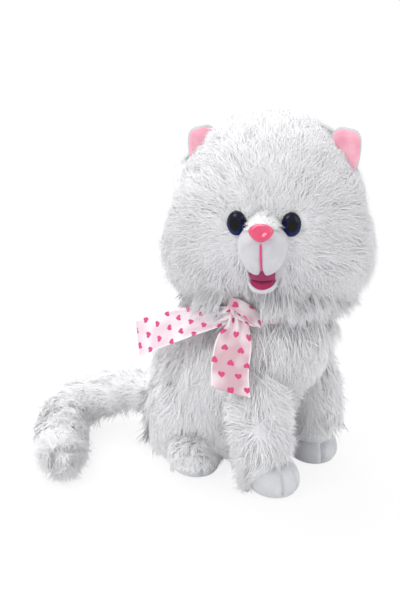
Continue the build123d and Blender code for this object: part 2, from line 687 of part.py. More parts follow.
# ---------------------------------------------------------------- battery box
cells = []
contacts = []
for i in range(3):
    z = CELL_Z + CELL_PITCH * (i - 1)
    turn = 1 if i % 2 else -1
    reach = CELL_LENGTH / 2
    can = rod_x(CELL_RADIUS, sorted((-turn * reach, turn * (reach - 0.9))), CELL_Y, z)
    can += rod_x(1.9, sorted((turn * (reach - 0.9), turn * reach)), CELL_Y, z)
    cells.append(Pos(CELL_X, 0, 0) * can)
    for side in (-1, 1):
        plate = box(sorted((side * 23.4, side * 23.8)), (CELL_Y - 4, CELL_Y + 4), (z - 4, z + 4))
        plate += rod_x(2.4, sorted((side * 22.4, side * 23.5)), CELL_Y, z)
        contacts.append(Pos(CELL_X, 0, 0) * plate)
save(group(cells), "battery_cells")
save(group(contacts), "battery_contacts")

cover_low = TRAY_BOTTOM - COVER_MARGIN
tab_z = TRAY_BOTTOM - TRAY_WALL - 2
battery_cover = box((tray_left - 0.2, tray_right + 0.2), (HOUSING_REAR, HOUSING_REAR + COVER_THICK),
                    (cover_low, TRAY_TOP + COVER_MARGIN))
battery_cover = fillet(battery_cover.edges().filter_by(Axis.Y), 2.5)
battery_cover += box((-5, 5), (HOUSING_REAR, HOUSING_REAR + COVER_THICK), (tab_z - 3, cover_low + 1))
battery_cover += box((CELL_X - 20, CELL_X + 20), (WALL_REAR + 0.2, HOUSING_REAR),
                     (TRAY_BOTTOM + 1.3, TRAY_TOP - 1.3))
for i in range(5):
    z = CELL_Z + 4.0 * (i - 2)
    battery_cover -= box((CELL_X - 9, CELL_X + 9), (HOUSING_REAR + COVER_THICK - 0.6, TALL),
                         (z - 0.6, z + 0.6))
battery_cover -= rod_y(1.35, (HOUSING_REAR - 1, TALL), 0, tab_z)
battery_cover -= rod_y(2.2, (HOUSING_REAR + 1.0, TALL), 0, tab_z)
save(battery_cover, "battery_cover")
save(Pos(0, HOUSING_REAR + 1.0, tab_z) * screw(8, 1.0, 2.0, 1.3), "battery_cover_screw")


# ---------------------------------------------------------------- switch and button
knob = box((SWITCH_X - KNOB_HALF, SWITCH_X + KNOB_HALF), (WALL_REAR - 0.4, HOUSING_REAR + 2.2),
           (SWITCH_Z - 1.4, SWITCH_Z + 1.4))
save(knob, "power_switch_knob")
switch_body = box((SWITCH_X - 4, SWITCH_X + 8), (WALL_REAR - 6, WALL_REAR - 0.7),
                  (SWITCH_Z - 3.5, SWITCH_Z + 2.4))
save(switch_body, "power_switch_body")

cap_back = HOUSING_FRONT - BUTTON_TRAVEL - 0.4
button = rod_y(BUTTON_RADIUS, (cap_back - 2.2, cap_back), 0, BUTTON_Z)
button = fillet(button.edges().sort_by(Axis.Y)[0], 0.8)
button += rod_y(BUTTON_STEM, (cap_back, WALL_CHEST + 1.2), 0, BUTTON_Z)
button += rod_y(BUTTON_STEM + 0.5, (WALL_CHEST + 0.3, WALL_CHEST + 1.3), 0, BUTTON_Z)
save(button, "chest_button")
tact = box((-4.4, 4.4), (WALL_CHEST + 3.2, WALL_CHEST + 6.4), (BUTTON_Z - 4, BUTTON_Z + 4))
tact += rod_y(1.6, (WALL_CHEST + 2.6, WALL_CHEST + 3.3), 0, BUTTON_Z)
save(tact, "chest_switch")


# ---------------------------------------------------------------- circuit board and speaker
board = box((-INNER_HALF_WIDTH + 0.3, INNER_HALF_WIDTH - 0.3), PCB_Y, (PCB_Z[0] + 0.2, PCB_Z[1] - 0.2))
board += box((-7, 5), (PCB_Y[0] - 1.8, PCB_Y[0]), (32, 44))
board += rod_y(3.0, (PCB_Y[0] - 3.5, PCB_Y[0]), 14, 42)
board += box((9, 19), (PCB_Y[0] - 3.5, PCB_Y[0]), (29, 34))
board += box((-20, -12), (PCB_Y[0] - 2.4, PCB_Y[0]), (30, 46))
save(board, "circuit_board")

speaker_frame = rod_y(SPEAKER_RADIUS, (WALL_FRONT + 0.2, WALL_FRONT + 3.0), 0, SPEAKER_Z)
speaker_frame += rod_y(SPEAKER_RADIUS - 6, (WALL_FRONT + 2, WALL_FRONT + 8), 0, SPEAKER_Z)
speaker_frame += rod_y(SPEAKER_RADIUS - 9, (WALL_FRONT + 8, WALL_FRONT + SPEAKER_DEPTH), 0, SPEAKER_Z)
speaker_frame -= rod_y(SPEAKER_RADIUS - 2, (WALL_FRONT - 1, WALL_FRONT + 2.0), 0, SPEAKER_Z)
save(speaker_frame, "speaker")
cone = rod_y(SPEAKER_RADIUS - 2.2, (WALL_FRONT + 0.5, WALL_FRONT + 2.0), 0, SPEAKER_Z)
cone -= rod_y(SPEAKER_RADIUS - 5, (WALL_FRONT, WALL_FRONT + 1.4), 0, SPEAKER_Z)
cone += rod_y(5.0, (WALL_FRONT + 0.8, WALL_FRONT + 1.6), 0, SPEAKER_Z)
save(cone, "speaker_cone")


# ---------------------------------------------------------------- neck drive
plate_top = PLATE_Z + PLATE_THICK
gear_plate = box((-INNER_HALF_WIDTH + 0.2, INNER_HALF_WIDTH - 0.2), (WALL_CHEST + 7.6, HOUSING_SPLIT + 11),
                 (PLATE_Z, plate_top))
gear_plate -= disc(SPIGOT_RADIUS + RUN_FIT, (0, TALL), 0, NECK_Y)
gear_plate -= disc(2.6, (0, TALL), *NECK_MOTOR_AT)
gear_plate += disc(3.0, (plate_top, plate_top + 0.6), *IDLER_AT)
gear_plate -= disc(SHAFT_RADIUS + 0.2, (0, TALL), *IDLER_AT)
save(gear_plate, "gear_plate")

IDLER_Z = (plate_top + 0.9, plate_top + 4.9)
neck_gear_z = (NECK_GEAR_Z, NECK_GEAR_Z + NECK_GEAR_WIDTH)
idler_phase = meshing_phase(0.0, NECK_GEAR_TEETH, PINION_TEETH, IDLER_ANGLE)
motor_phase = meshing_phase(0.0, IDLER_TEETH, PINION_TEETH, MOTOR_ANGLE)

neck_gear = gear(NECK_GEAR_TEETH, neck_gear_z, 0.0, TUBE_RADIUS - 1)
save(Pos(0, NECK_Y, 0) * neck_gear, "neck_gear")

idler = gear(IDLER_TEETH, IDLER_Z) + gear(PINION_TEETH, (IDLER_Z[1], neck_gear_z[1] + 0.6), idler_phase)
idler -= disc(SHAFT_RADIUS + 0.2 + RUN_FIT, (0, TALL))
save(Pos(*IDLER_AT, 0) * idler, "neck_idler_gear")
save(disc(SHAFT_RADIUS + 0.2, (PLATE_Z - 1, neck_gear_z[1] + 2), *IDLER_AT), "neck_idler_axle")

pinion = gear(PINION_TEETH, (IDLER_Z[0] + 0.2, IDLER_Z[1] + 0.6), motor_phase, SHAFT_RADIUS)
save(Pos(*NECK_MOTOR_AT, 0) * pinion, "neck_motor_pinion")


def can_motor(radius, length, shaft):
    """A small direct-current motor with its shaft up, the face of its can at Z = 0."""
    can = disc(radius, (-length, 0))
    can += disc(2.4, (0, PLATE_THICK * 0.8))
    can += disc(SHAFT_RADIUS, (0, shaft))
    can += disc(3.0, (-length - 1.5, -length))
    for side in (-1, 1):
        tag = box(sorted((side * 5.0, side * 5.6)), (-1.2, 1.2), (-length - 3, -length + 0.5))
        can += tag
    return can


neck_motor = Pos(*NECK_MOTOR_AT, PLATE_Z) * can_motor(CAN_RADIUS, CAN_LENGTH, IDLER_Z[1] + 0.6 - PLATE_Z)
neck_motor -= Pos(*NECK_MOTOR_AT, 0) * pinion
save(neck_motor, "neck_motor")

bush = disc(BUSH_RADIUS - 0.02, (HOUSING_TOP - 5, HOUSING_TOP + 0.1), 0, NECK_Y)
bush += disc(BUSH_FLANGE, (HOUSING_TOP, HOUSING_TOP + 2.5), 0, NECK_Y)
bush -= disc(TUBE_RADIUS + RUN_FIT, (0, TALL), 0, NECK_Y)
save(bush, "neck_bush")

tube_top = SKULL_BOTTOM + SKULL_WALL
tube = disc(TUBE_RADIUS, (neck_gear_z[1], tube_top), 0, NECK_Y)
tube += disc(TUBE_RADIUS - 1, (NECK_GEAR_Z - 2, neck_gear_z[1]), 0, NECK_Y)
tube += disc(SPIGOT_RADIUS, (PLATE_Z - 1.5, NECK_GEAR_Z), 0, NECK_Y)
tube += disc(BUSH_RADIUS - 1, (HOUSING_TOP - 7, HOUSING_TOP - 5.3), 0, NECK_Y)
tube += disc(FLANGE_RADIUS, (tube_top, tube_top + 2), 0, NECK_Y)
tube -= disc(3.2, (0, TALL), 0, NECK_Y)
save(tube, "neck_tube")


# ---------------------------------------------------------------- tail drive
tail_offset = 360 / TAIL_SECTOR_TEETH * 5
end_tooth = TAIL_PINION_ANGLE - tail_offset
tail_phase = meshing_phase(end_tooth, TAIL_SECTOR_TEETH, PINION_TEETH, TAIL_PINION_ANGLE)
tail_pinion = gear(PINION_TEETH, (SECTOR_Z[0] - 0.4, SECTOR_Z[1] + 0.2), tail_phase, SHAFT_RADIUS)
save(Pos(*TAIL_MOTOR_AT, 0) * tail_pinion, "tail_motor_pinion")
tail_shaft = TAIL_CAN_BOTTOM - SECTOR_Z[0] + 0.4
tail_motor = Rot(180, 0, 0) * can_motor(TAIL_CAN_RADIUS, 13.0, tail_shaft)
tail_motor = Pos(*TAIL_MOTOR_AT, TAIL_CAN_BOTTOM) * tail_motor
tail_motor -= Pos(*TAIL_MOTOR_AT, 0) * tail_pinion
save(tail_motor, "tail_motor")


# ---------------------------------------------------------------- head, in its own frame
def head_form():
    """The head with its puffy cheeks, from the underside to the dome."""
    front, back = HEAD_FRONT, HEAD_BACK
    return swell([
        (132, HEAD_HALF_WIDTH - 21, -front + 22, back - 18),
        (148, HEAD_HALF_WIDTH - 5, -front + 4, back - 5),
        (178, HEAD_HALF_WIDTH, -front, back),
        (220, HEAD_HALF_WIDTH - 13, -front + 6, back - 5),
        (246, HEAD_HALF_WIDTH - 36, -front + 24, back - 25),
        (HEAD_TOP, HEAD_HALF_WIDTH - 60, -front + 44, back - 50),
    ])


def skull_block(grow):
    block = box((-SKULL_HALF_WIDTH - grow, SKULL_HALF_WIDTH + grow), (-SKULL_FRONT - grow, SKULL_BACK + grow),
                (SKULL_BOTTOM - grow, SKULL_TOP + grow))
    block = fillet(block.edges().filter_by(Axis.Z), SKULL_CORNER + grow)
    top = block.faces().sort_by(Axis.Z)[-1]
    return chamfer(top.edges(), SKULL_CROWN + grow / 2)


def muzzle_form():
    """The short-pile muzzle: a loft forward from the face to the nose."""
    wires = []
    for forward, half_x, middle, half_z in (
        (38, MUZZLE_HALF_WIDTH, MUZZLE_Z, MUZZLE_HALF_HEIGHT),
        (57, MUZZLE_HALF_WIDTH, MUZZLE_Z, MUZZLE_HALF_HEIGHT),
        (69, MUZZLE_HALF_WIDTH - 4.5, MUZZLE_Z + 2, MUZZLE_HALF_HEIGHT - 5),
        (76, MUZZLE_HALF_WIDTH - 12, MUZZLE_Z + 5, MUZZLE_HALF_HEIGHT - 13),
    ):
        across = Plane(origin=(0, -forward, middle), x_dir=(1, 0, 0), z_dir=(0, -1, 0))
        wires.append(across.location * oval(half_x, half_z))
    return Solid.make_loft(wires)


def nose_form():
    """Rounded triangle, wide at the top, with a soft front edge."""
    wide, narrow = NOSE_HALF_WIDTH, NOSE_HALF_WIDTH * 0.32
    corners = ((-wide, 5.0), (wide, 5.0), (narrow, -7.0), (-narrow, -7.0))
    outline = fillet(make_face(Polyline(*corners, close=True)).vertices(), 2.5)
    frame = Plane(origin=(0, -NOSE_FRONT + 10, NOSE_Z), x_dir=(1, 0, 0), z_dir=(0, -0.93, 0.37))
    pad = frame * extrude(outline, amount=10)
    front = pad.faces().sort_by(Axis.Y)[0]
    return fillet(front.edges(), 2.4)


def ear_outline(half, height):
    """A rounded triangle with bowed sides, standing on its base."""
    lines = [
        Line((half, 0), (-half, 0)),
        ThreePointArc((-half, 0), (-half * 0.9, height * 0.55), (-half * 0.3, height * 0.94)),
        ThreePointArc((-half * 0.3, height * 0.94), (0, height), (half * 0.3, height * 0.94)),
        ThreePointArc((half * 0.3, height * 0.94), (half * 0.9, height * 0.55), (half, 0)),
    ]
    return make_face(Wire(lines))


def ear_place(side, shape):
    lean = Rot(0, side * EAR_LEAN, 0)
    return Pos(side * EAR_X, -1, EAR_Z) * lean * Rot(90, 0, 0) * shape


def eye(side):
    dome = Sphere(EYE_RADIUS + 1.5)
    dome = dome & rod_y(EYE_RADIUS, (-TALL, TALL)) & box((-20, 20), (-20, -3.2), (-20, 20))
    dome = Pos(0, EYE_RADIUS + 1.5, 0) * dome
    dome += rod_y(EYE_SHANK_RADIUS, (EYE_RADIUS - 2, EYE_FRONT - SKULL_FRONT + 4))
    return Pos(side * EYE_X, -EYE_FRONT, EYE_Z) * dome


def jaw_frame(shape):
    """Places a piece drawn about Z on the jaw's axis, which lies across the head."""
    return Pos(0, -JAW_FORWARD, JAW_Z) * Rot(0, 90, 0) * shape


skull = skull_block(0) - skull_block(-SKULL_WALL)
skull_front = skull & box((-TALL, TALL), (-TALL, 0), (0, TALL))
skull_rear = skull & box((-TALL, TALL), (0, TALL), (0, TALL))
skull_posts = [(x, z) for x in (-22.0, 22.0) for z in (176.0, 200.0)]
skull_inside = skull_block(-SKULL_WALL / 2)
for x, z in skull_posts:
    skull_front += rod_y(POST_OUTER, (-TALL, 0), x, z) & skull_inside
    skull_front -= rod_y(POST_BORE, (-9, 1), x, z)
    skull_rear += rod_y(POST_OUTER, (0, TALL), x, z) & skull_inside
for x, z in skull_posts:
    skull_rear -= rod_y(2.3, (2.5, TALL), x, z)
    skull_rear -= rod_y(POST_BORE + 0.3, (-1, TALL), x, z)
tube_hole = disc(TUBE_RADIUS + RUN_FIT, (0, TALL))
flange_hole = disc(FLANGE_RADIUS, (tube_top, tube_top + 2))
for x in (-EYE_X, EYE_X):
    skull_front -= rod_y(EYE_SHANK_RADIUS, (-TALL, -10), x, EYE_Z)
skull_front -= box((-LEVER_THICK / 2 - 0.6, LEVER_THICK / 2 + 0.6), (-TALL, -SKULL_FRONT + 4), (tube_top - 0.1, JAW_Z + 3))
lug_top = JAW_Z + 4
for side in (-1, 1):
    span = sorted((side * (LEVER_THICK / 2 + 0.4), side * (LEVER_THICK / 2 + 3.4)))
    skull_front += box(span, (-JAW_FORWARD - 4, -JAW_FORWARD + 4), (tube_top - 0.5, lug_top))
motor_forward = JAW_FORWARD - pitch_radius(JAW_SECTOR_TEETH + PINION_TEETH)
cradle = box((FLANGE_RADIUS + 1, 25), (-motor_forward - 7, -0.5), (tube_top - 0.5, JAW_Z - 4))
cradle -= rod_x(7.6, (0, TALL), -motor_forward, JAW_Z)
skull_front += cradle
skull_front -= rod_x(JAW_PIN_RADIUS, (-20, 20), -JAW_FORWARD, JAW_Z)
skull_front = skull_front - tube_hole - flange_hole
skull_rear = skull_rear - tube_hole - flange_hole

jaw_lever = disc(5.0, (-LEVER_THICK / 2, LEVER_THICK / 2))
jaw_lever += sector(JAW_SECTOR_TEETH, 9, (-LEVER_THICK / 2 + 0.3, LEVER_THICK / 2 - 0.3), 90)
jaw_lever = jaw_frame(jaw_lever)
lever_span = (-LEVER_THICK / 2, LEVER_THICK / 2)
arm_low = JAW_ARM_TOP - JAW_ARM_THICK
jaw_lever += box(lever_span, (-52, -JAW_FORWARD), (arm_low, JAW_ARM_TOP))
jaw_lever += box(lever_span, (-JAW_FORWARD - 4.5, -JAW_FORWARD + 3), (arm_low, JAW_Z))
jaw_lever += box((-8, 8), (-CHIN_FRONT + 3.5, -51), (arm_low, arm_low + 2.0))
jaw_lever -= rod_x(JAW_PIN_RADIUS + RUN_FIT, (-20, 20), -JAW_FORWARD, JAW_Z)
jaw_phase = meshing_phase(90 - 4 * 360 / JAW_SECTOR_TEETH, JAW_SECTOR_TEETH, PINION_TEETH, 90)
jaw_pinion = gear(PINION_TEETH, (-LEVER_THICK / 2, LEVER_THICK / 2), jaw_phase, SHAFT_RADIUS)
jaw_pinion = Pos(0, -motor_forward, JAW_Z) * Rot(0, 90, 0) * jaw_pinion
jaw_motor = Rot(0, -90, 0) * can_motor(7.5, 16, 9.0)
jaw_motor = Pos(6.2, -motor_forward, JAW_Z) * jaw_motor
jaw_motor -= jaw_pinion

chin = box((-JAW_HALF_WIDTH, JAW_HALF_WIDTH), (-CHIN_FRONT, -CHIN_BACK), (CHIN_BOTTOM, CHIN_TOP))
chin = fillet(chin.edges().filter_by(Axis.Z).sort_by(Axis.Y)[:2], 7.0)
chin = fillet(chin.edges().group_by(Axis.Z)[0], 3.0)
tongue = box((-JAW_HALF_WIDTH + 2, JAW_HALF_WIDTH - 2), (-CHIN_FRONT + 1.5, -CHIN_BACK - 0.5),
             (CHIN_TOP, CHIN_TOP + TONGUE_THICK))
tongue = fillet(tongue.edges().filter_by(Axis.Z).sort_by(Axis.Y)[:2], 6.5)
chin -= jaw_lever
palate_profile = Polyline((-MOUTH_FRONT, LIP_Z), (-MOUTH_FRONT, LIP_Z - FELT), (-MOUTH_FRONT + 6, LIP_Z - PALATE_DEPTH),
                          (-MOUTH_BACK, LIP_Z - PALATE_DEPTH), (-MOUTH_BACK, LIP_Z), close=True)
palate = extrude(Plane.YZ * make_face(palate_profile), amount=MOUTH_HALF_WIDTH - 0.2, both=True)
palate = fillet(palate.edges().filter_by(Axis.Z), 4.0)
throat = box((-MOUTH_HALF_WIDTH + 0.2, MOUTH_HALF_WIDTH - 0.2), (-MOUTH_BACK - FELT, -MOUTH_BACK),
             (MOUTH_BOTTOM, LIP_Z - FELT))
throat -= box((-LEVER_THICK / 2 - 0.6, LEVER_THICK / 2 + 0.6), (-TALL, 0), (0, JAW_Z - 1))
mouth_lining = palate + throat

mouth_space = box((-MOUTH_HALF_WIDTH, MOUTH_HALF_WIDTH), (-TALL, -MOUTH_BACK), (MOUTH_BOTTOM, LIP_Z))
lever_space = box((-LEVER_THICK / 2 - 0.6, LEVER_THICK / 2 + 0.6), (-TALL, -SKULL_FRONT), (tube_top, JAW_Z - 1))
recess = disc(RECESS_RADIUS, (0, NECK_TOP + HEAD_GAP))

head_whole = head_form() - recess
eyes = {side: eye(side) for side in (-1, 1)}
muzzle = muzzle_form() - head_whole
muzzle &= box((-TALL, TALL), (-TALL, TALL), (LIP_Z, TALL))
nose = nose_form() - head_whole
muzzle -= nose
head = head_whole - skull_block(SOFT_GAP) - mouth_space - lever_space
head -= disc(TUBE_RADIUS + 0.4, (0, SKULL_BOTTOM))
washers = []
for side in (-1, 1):
    head -= rod_y(EYE_SHANK_RADIUS, (-TALL, 0), side * EYE_X, EYE_Z)
    head -= rod_y(EYE_RADIUS + 0.6, (-TALL, -EYE_FRONT + 5.4), side * EYE_X, EYE_Z)
    muzzle -= rod_y(EYE_RADIUS + 0.6, (-TALL, TALL), side * EYE_X, EYE_Z)
    washer = rod_y(EYE_WASHER_RADIUS, (-SKULL_FRONT + SKULL_WALL, -SKULL_FRONT + SKULL_WALL + 1.2), side * EYE_X, EYE_Z)
    washers.append(washer - rod_y(EYE_SHANK_RADIUS, (-TALL, 0), side * EYE_X, EYE_Z))

ears = {"ear_linings": []}
for side, name in ((-1, "right"), (1, "left")):
    outer = ear_place(side, extrude(ear_outline(EAR_HALF_WIDTH, EAR_HEIGHT), amount=-EAR_THICK))
    lining = ear_place(side, extrude(ear_outline(EAR_HALF_WIDTH - EAR_RIM, EAR_HEIGHT - EAR_RIM),
                                     amount=EAR_LINING_THICK))
    ears[f"ear_{name}"] = outer - head_whole
    ears["ear_linings"].append(lining - head_whole)

head_nodes = {
    "head": head,
    "muzzle": muzzle,
    "nose": nose,
    "eyes": [eyes[-1], eyes[1]],
    "eye_washers": washers,
    "head_shell_front": skull_front,
    "head_shell_rear": skull_rear,
    "head_shell_screws": [Pos(x, 2.5, z) * screw(10, 1.0, 2.1, 1.6) for x, z in skull_posts],
    "mouth_lining": mouth_lining,
    "jaw_pin": rod_x(JAW_PIN_RADIUS, (-5.8, 5.8), -JAW_FORWARD, JAW_Z),
    "jaw_motor": jaw_motor,
    "jaw_motor_pinion": jaw_pinion,
    "jaw_lever": jaw_lever,
    "chin": chin,
    "tongue": tongue,
}
head_nodes.update(ears)
for node, shape in head_nodes.items():
    save(head_place(shape), node)

print("flap hinge y", HINGE_Y)
print("neck idler", IDLER_AT, "neck motor", NECK_MOTOR_AT, "tail motor", TAIL_MOTOR_AT)
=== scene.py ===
"""Interactive plush cat: long-pile fur, short-pile paws and muzzle, satin ribbon."""
import json
import math
import bmesh
import bpy
import numpy as np
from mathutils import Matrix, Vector


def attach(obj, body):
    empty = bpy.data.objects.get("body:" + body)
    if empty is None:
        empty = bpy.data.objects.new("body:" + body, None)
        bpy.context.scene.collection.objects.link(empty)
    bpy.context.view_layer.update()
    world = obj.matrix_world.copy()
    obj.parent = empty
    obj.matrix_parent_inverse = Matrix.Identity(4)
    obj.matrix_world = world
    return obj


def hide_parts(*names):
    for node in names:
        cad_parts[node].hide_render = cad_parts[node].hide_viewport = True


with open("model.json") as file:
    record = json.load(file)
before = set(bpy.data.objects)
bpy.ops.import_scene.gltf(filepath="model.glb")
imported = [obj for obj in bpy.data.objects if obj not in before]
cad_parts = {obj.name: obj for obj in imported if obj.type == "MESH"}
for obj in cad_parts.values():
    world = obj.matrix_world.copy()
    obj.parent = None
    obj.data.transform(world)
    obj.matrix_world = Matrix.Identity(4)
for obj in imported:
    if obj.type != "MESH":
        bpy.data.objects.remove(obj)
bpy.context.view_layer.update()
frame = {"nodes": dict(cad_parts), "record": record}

# ------------------------------------------------------------------ sizes, in millimetres
MM = 0.001
NECK_Y = -26.0            # axis that the head turns on
HEAD_YAW = math.radians(45)
FLOOR_GAP = 0.5           # lowest fur above the floor
POCKET = dict(middle=2.0, half=25.1, low=38.5, high=85.0, depth=37.0)    # the opening behind the back flap
EYE_AT = np.array([[-18.5, -53.5, 193.0], [18.5, -53.5, 193.0]])         # in the head's own frame
EYE_RADIUS = 7.0
EYE_DOME = 4.032          # how far an eye stands out of its rim
EYE_TURN = math.radians(14)      # how far an eye faces outward
NOSE_TILT = math.radians(18)     # how far the nose looks up
EAR_LEAN = math.radians(12)      # how far an ear leans out
EYE_CLEAR = 5.4           # no fibre crosses an eye nearer to its middle than this
MOUTH_CLEAR = 9.5         # the same round the middle of the open mouth
MOUTH_Z = 160.0
FELT_THICK = 1.0
RIBBON_WIDTH = 25.0
RIBBON_THICK = 0.35
BAND_RADIUS = 38.5        # the ribbon round the neck
BAND_GIRTH = 242.0
BOW_AT = np.array([-39.917, -46.339, 132.0])
OWN_NORMAL = 0.28         # share of a fibre's own roundness in its shading
FIBRE_FLAT = 0.6          # a fibre's thickness as a share of its width
ROOT_DEPTH = 0.8          # how far below the skin a fibre starts


# ------------------------------------------------------------------ small geometry tools
def unit(a):
    """Each row divided by its length."""
    return a / np.maximum(np.linalg.norm(a, axis=-1, keepdims=True), 1e-9)


def smooth_step(x, low, high):
    """0 below low, 1 above high, and a smooth cubic between."""
    t = np.clip((x - low) / (high - low), 0, 1)
    return t * t * (3 - 2 * t)


def rows_at(rows, v):
    """Catmull-Rom curve through the rows of a table, at v from 0 (first row) to 1 (last row)."""
    rows = np.asarray(rows, float)
    last = len(rows) - 1
    t = np.clip(np.asarray(v, float), 0, 1) * last
    i = np.minimum(t.astype(int), last - 1)
    f = (t - i)[..., None]
    a, b = rows[np.maximum(i - 1, 0)], rows[i]
    c, d = rows[i + 1], rows[np.minimum(i + 2, last)]
    return 0.5 * (2 * b + (c - a) * f + (2 * a - 5 * b + 4 * c - d) * f**2
                  + (3 * b - a - 3 * c + d) * f**3)


def head_to_row(p):
    """From the head's own frame (looks along -Y, origin on the neck axis) to the row frame."""
    c, s = math.cos(HEAD_YAW), math.sin(HEAD_YAW)
    return np.stack([p[..., 0] * c + p[..., 1] * s, -p[..., 0] * s + p[..., 1] * c + NECK_Y, p[..., 2]], -1)


def same_place(p):
    """For pieces that are already in the row frame."""
    return p


def oval_stack(rows, at=(0.0, 0.0)):
    """Surface through level ovals, each a row of z, half width, front y and rear y.

    A point is x = half sin a, y = middle - depth cos a, for a from 0 to a full circle with u.
    """
    def surface(u, v):
        z, half, front, rear = np.moveaxis(rows_at(rows, v), -1, 0)
        a = 2 * np.pi * np.asarray(u)
        x = at[0] + half * np.sin(a)
        y = at[1] + (front + rear) / 2 - (rear - front) / 2 * np.cos(a)
        return np.stack([x, y, z + 0 * a], -1)
    return surface


def tube_along(route):
    """Surface round a route of (x, y, z, radius): a circle across the smooth line at each place."""
    route = np.asarray(route, float)

    def surface(u, v):
        here = rows_at(route, v)
        ahead = rows_at(route, np.asarray(v) + 0.004) - rows_at(route, np.asarray(v) - 0.004)
        along = unit(ahead[..., :3])
        side = unit(np.cross(along, [0.0, 0.0, 1.0]))
        top = np.cross(side, along)
        a = (2 * np.pi * np.asarray(u))[..., None]
        return here[..., :3] + here[..., 3:4] * (side * np.sin(a) + top * np.cos(a))
    return surface


def grid(n_u, n_v):
    """u and v of a grid that wraps round in u and goes from 0 to 1 in v."""
    u, v = np.meshgrid(np.arange(n_u) / n_u, np.linspace(0, 1, n_v), indexing="ij")
    return u, v


def closed_faces(n_u, n_v):
    """Quads of a grid that wraps round in u."""
    i, j = np.meshgrid(np.arange(n_u), np.arange(n_v - 1), indexing="ij")
    k = (i + 1) % n_u
    return np.stack([i * n_v + j, k * n_v + j, k * n_v + j + 1, i * n_v + j + 1], -1).reshape(-1, 4)


def open_faces(n_u, n_v):
    """Quads of a plain grid."""
    i, j = np.meshgrid(np.arange(n_u - 1), np.arange(n_v - 1), indexing="ij")
    k = i + 1
    return np.stack([i * n_v + j, k * n_v + j, k * n_v + j + 1, i * n_v + j + 1], -1).reshape(-1, 4)


def fill_mesh(name, points, faces):
    """A mesh from arrays of points (mm) and faces of one size, with smooth shading."""
    mesh = bpy.data.meshes.new(name)
    corners = faces.shape[1]
    mesh.vertices.add(len(points))
    mesh.vertices.foreach_set("co", (points * MM).astype(np.float32).ravel())
    mesh.loops.add(faces.size)
    mesh.loops.foreach_set("vertex_index", faces.astype(np.int32).ravel())
    mesh.polygons.add(len(faces))
    mesh.polygons.foreach_set("loop_start", np.arange(0, faces.size, corners, dtype=np.int32))
    mesh.polygons.foreach_set("loop_total", np.full(len(faces), corners, dtype=np.int32))
    mesh.polygons.foreach_set("use_smooth", np.ones(len(faces), dtype=bool))
    mesh.update(calc_edges=True)
    return mesh


def tidy(mesh, merge=0.02):
    """Merges poles and seams, drops flat faces and turns all faces outward."""
    bm = bmesh.new()
    bm.from_mesh(mesh)
    bmesh.ops.remove_doubles(bm, verts=bm.verts, dist=merge * MM)
    bmesh.ops.dissolve_degenerate(bm, dist=0.001 * MM, edges=bm.edges)
    bmesh.ops.recalc_face_normals(bm, faces=bm.faces)
    for face in bm.faces:
        face.smooth = True
    bm.to_mesh(mesh)
    bm.free()
    return mesh


def in_scene(name, data):
    """A new object for a mesh, lamp or camera, linked to the scene."""
    made = bpy.data.objects.new(name, data)
    bpy.context.scene.collection.objects.link(made)
    return made


def piece(name, points, faces, fabric, body, clean=True, nodes=()):
    """A finished piece: its mesh in place, its material, the body it rides on and the nodes it stands for."""
    mesh = fill_mesh(name, points.reshape(-1, 3), faces)
    if clean:
        tidy(mesh)
    made = in_scene(name, mesh)
    mesh.materials.append(fabric)
    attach(made, body)
    if nodes:
        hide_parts(*nodes)
    return made


def closed_piece(name, surface, counts, fabric, place=head_to_row, body="head_group", nodes=(),
                 clean=True):
    """A closed piece from a surface function on a grid of counts; on the head unless told otherwise."""
    points = place(surface(*grid(*counts)))
    return piece(name, points, closed_faces(*counts), fabric, body, clean, nodes)


def thicken(made, thickness):
    """Gives a single-layer piece its thickness, in millimetres, half on each side."""
    wall = made.modifiers.new("cloth", "SOLIDIFY")
    wall.thickness = thickness * MM
    wall.offset = 0


def skin(name, surface, place, body, nodes, around, up, shape=None, fabric=None):
    """A closed stuffed form from a surface function."""
    u, v = grid(around, up)
    points = surface(u, v)
    if shape:
        points = shape(points)
    made = piece(name, place(points), closed_faces(around, up), fabric or FUR_BACKING, body,
                 nodes=nodes)


# ------------------------------------------------------------------ materials
def linear(hex_colour, alpha=1.0):
    """An sRGB hex colour as linear RGBA."""
    parts = [int(hex_colour[i:i + 2], 16) / 255 for i in (0, 2, 4)]
    return [c / 12.92 if c <= 0.04045 else ((c + 0.055) / 1.055) ** 2.4 for c in parts] + [alpha]


def darker(hex_colour, share):
    """A hex colour with each of its three parts multiplied by share."""
    return "".join(f"{int(int(hex_colour[i:i + 2], 16) * share):02x}" for i in (0, 2, 4))


def per(size_mm):
    """The scale at which a noise pattern's grains are about size_mm across."""
    return 1 / (size_mm * MM)


def link(tree, node, **links):
    """Links sockets to a node's inputs, named with _ for a space, or numbered as i0, i1 and so on."""
    for key, source in links.items():
        socket = int(key[1:]) if key[0] == "i" and key[1:].isdigit() else key.replace("_", " ")
        tree.links.new(source, node.inputs[socket])


def add(tree, kind, settings=None, **links):
    """Adds a node, sets its properties and sockets, and links its inputs."""
    node = tree.nodes.new(kind)
    for key, value in (settings or {}).items():
        if isinstance(key, int) or key in node.inputs:
            node.inputs[key].default_value = value
        else:
            setattr(node, key, value)
    link(tree, node, **links)
    return node


def material(name, settings):
    """A material with one Principled shader; returns it with its tree, shader and Object coordinates."""
    made = bpy.data.materials.new(name)
    made.use_nodes = True
    tree = made.node_tree
    shader = tree.nodes["Principled BSDF"]
    for key, value in settings.items():
        shader.inputs[key].default_value = value
    place = add(tree, "ShaderNodeTexCoord").outputs["Object"]
    return made, tree, shader, place


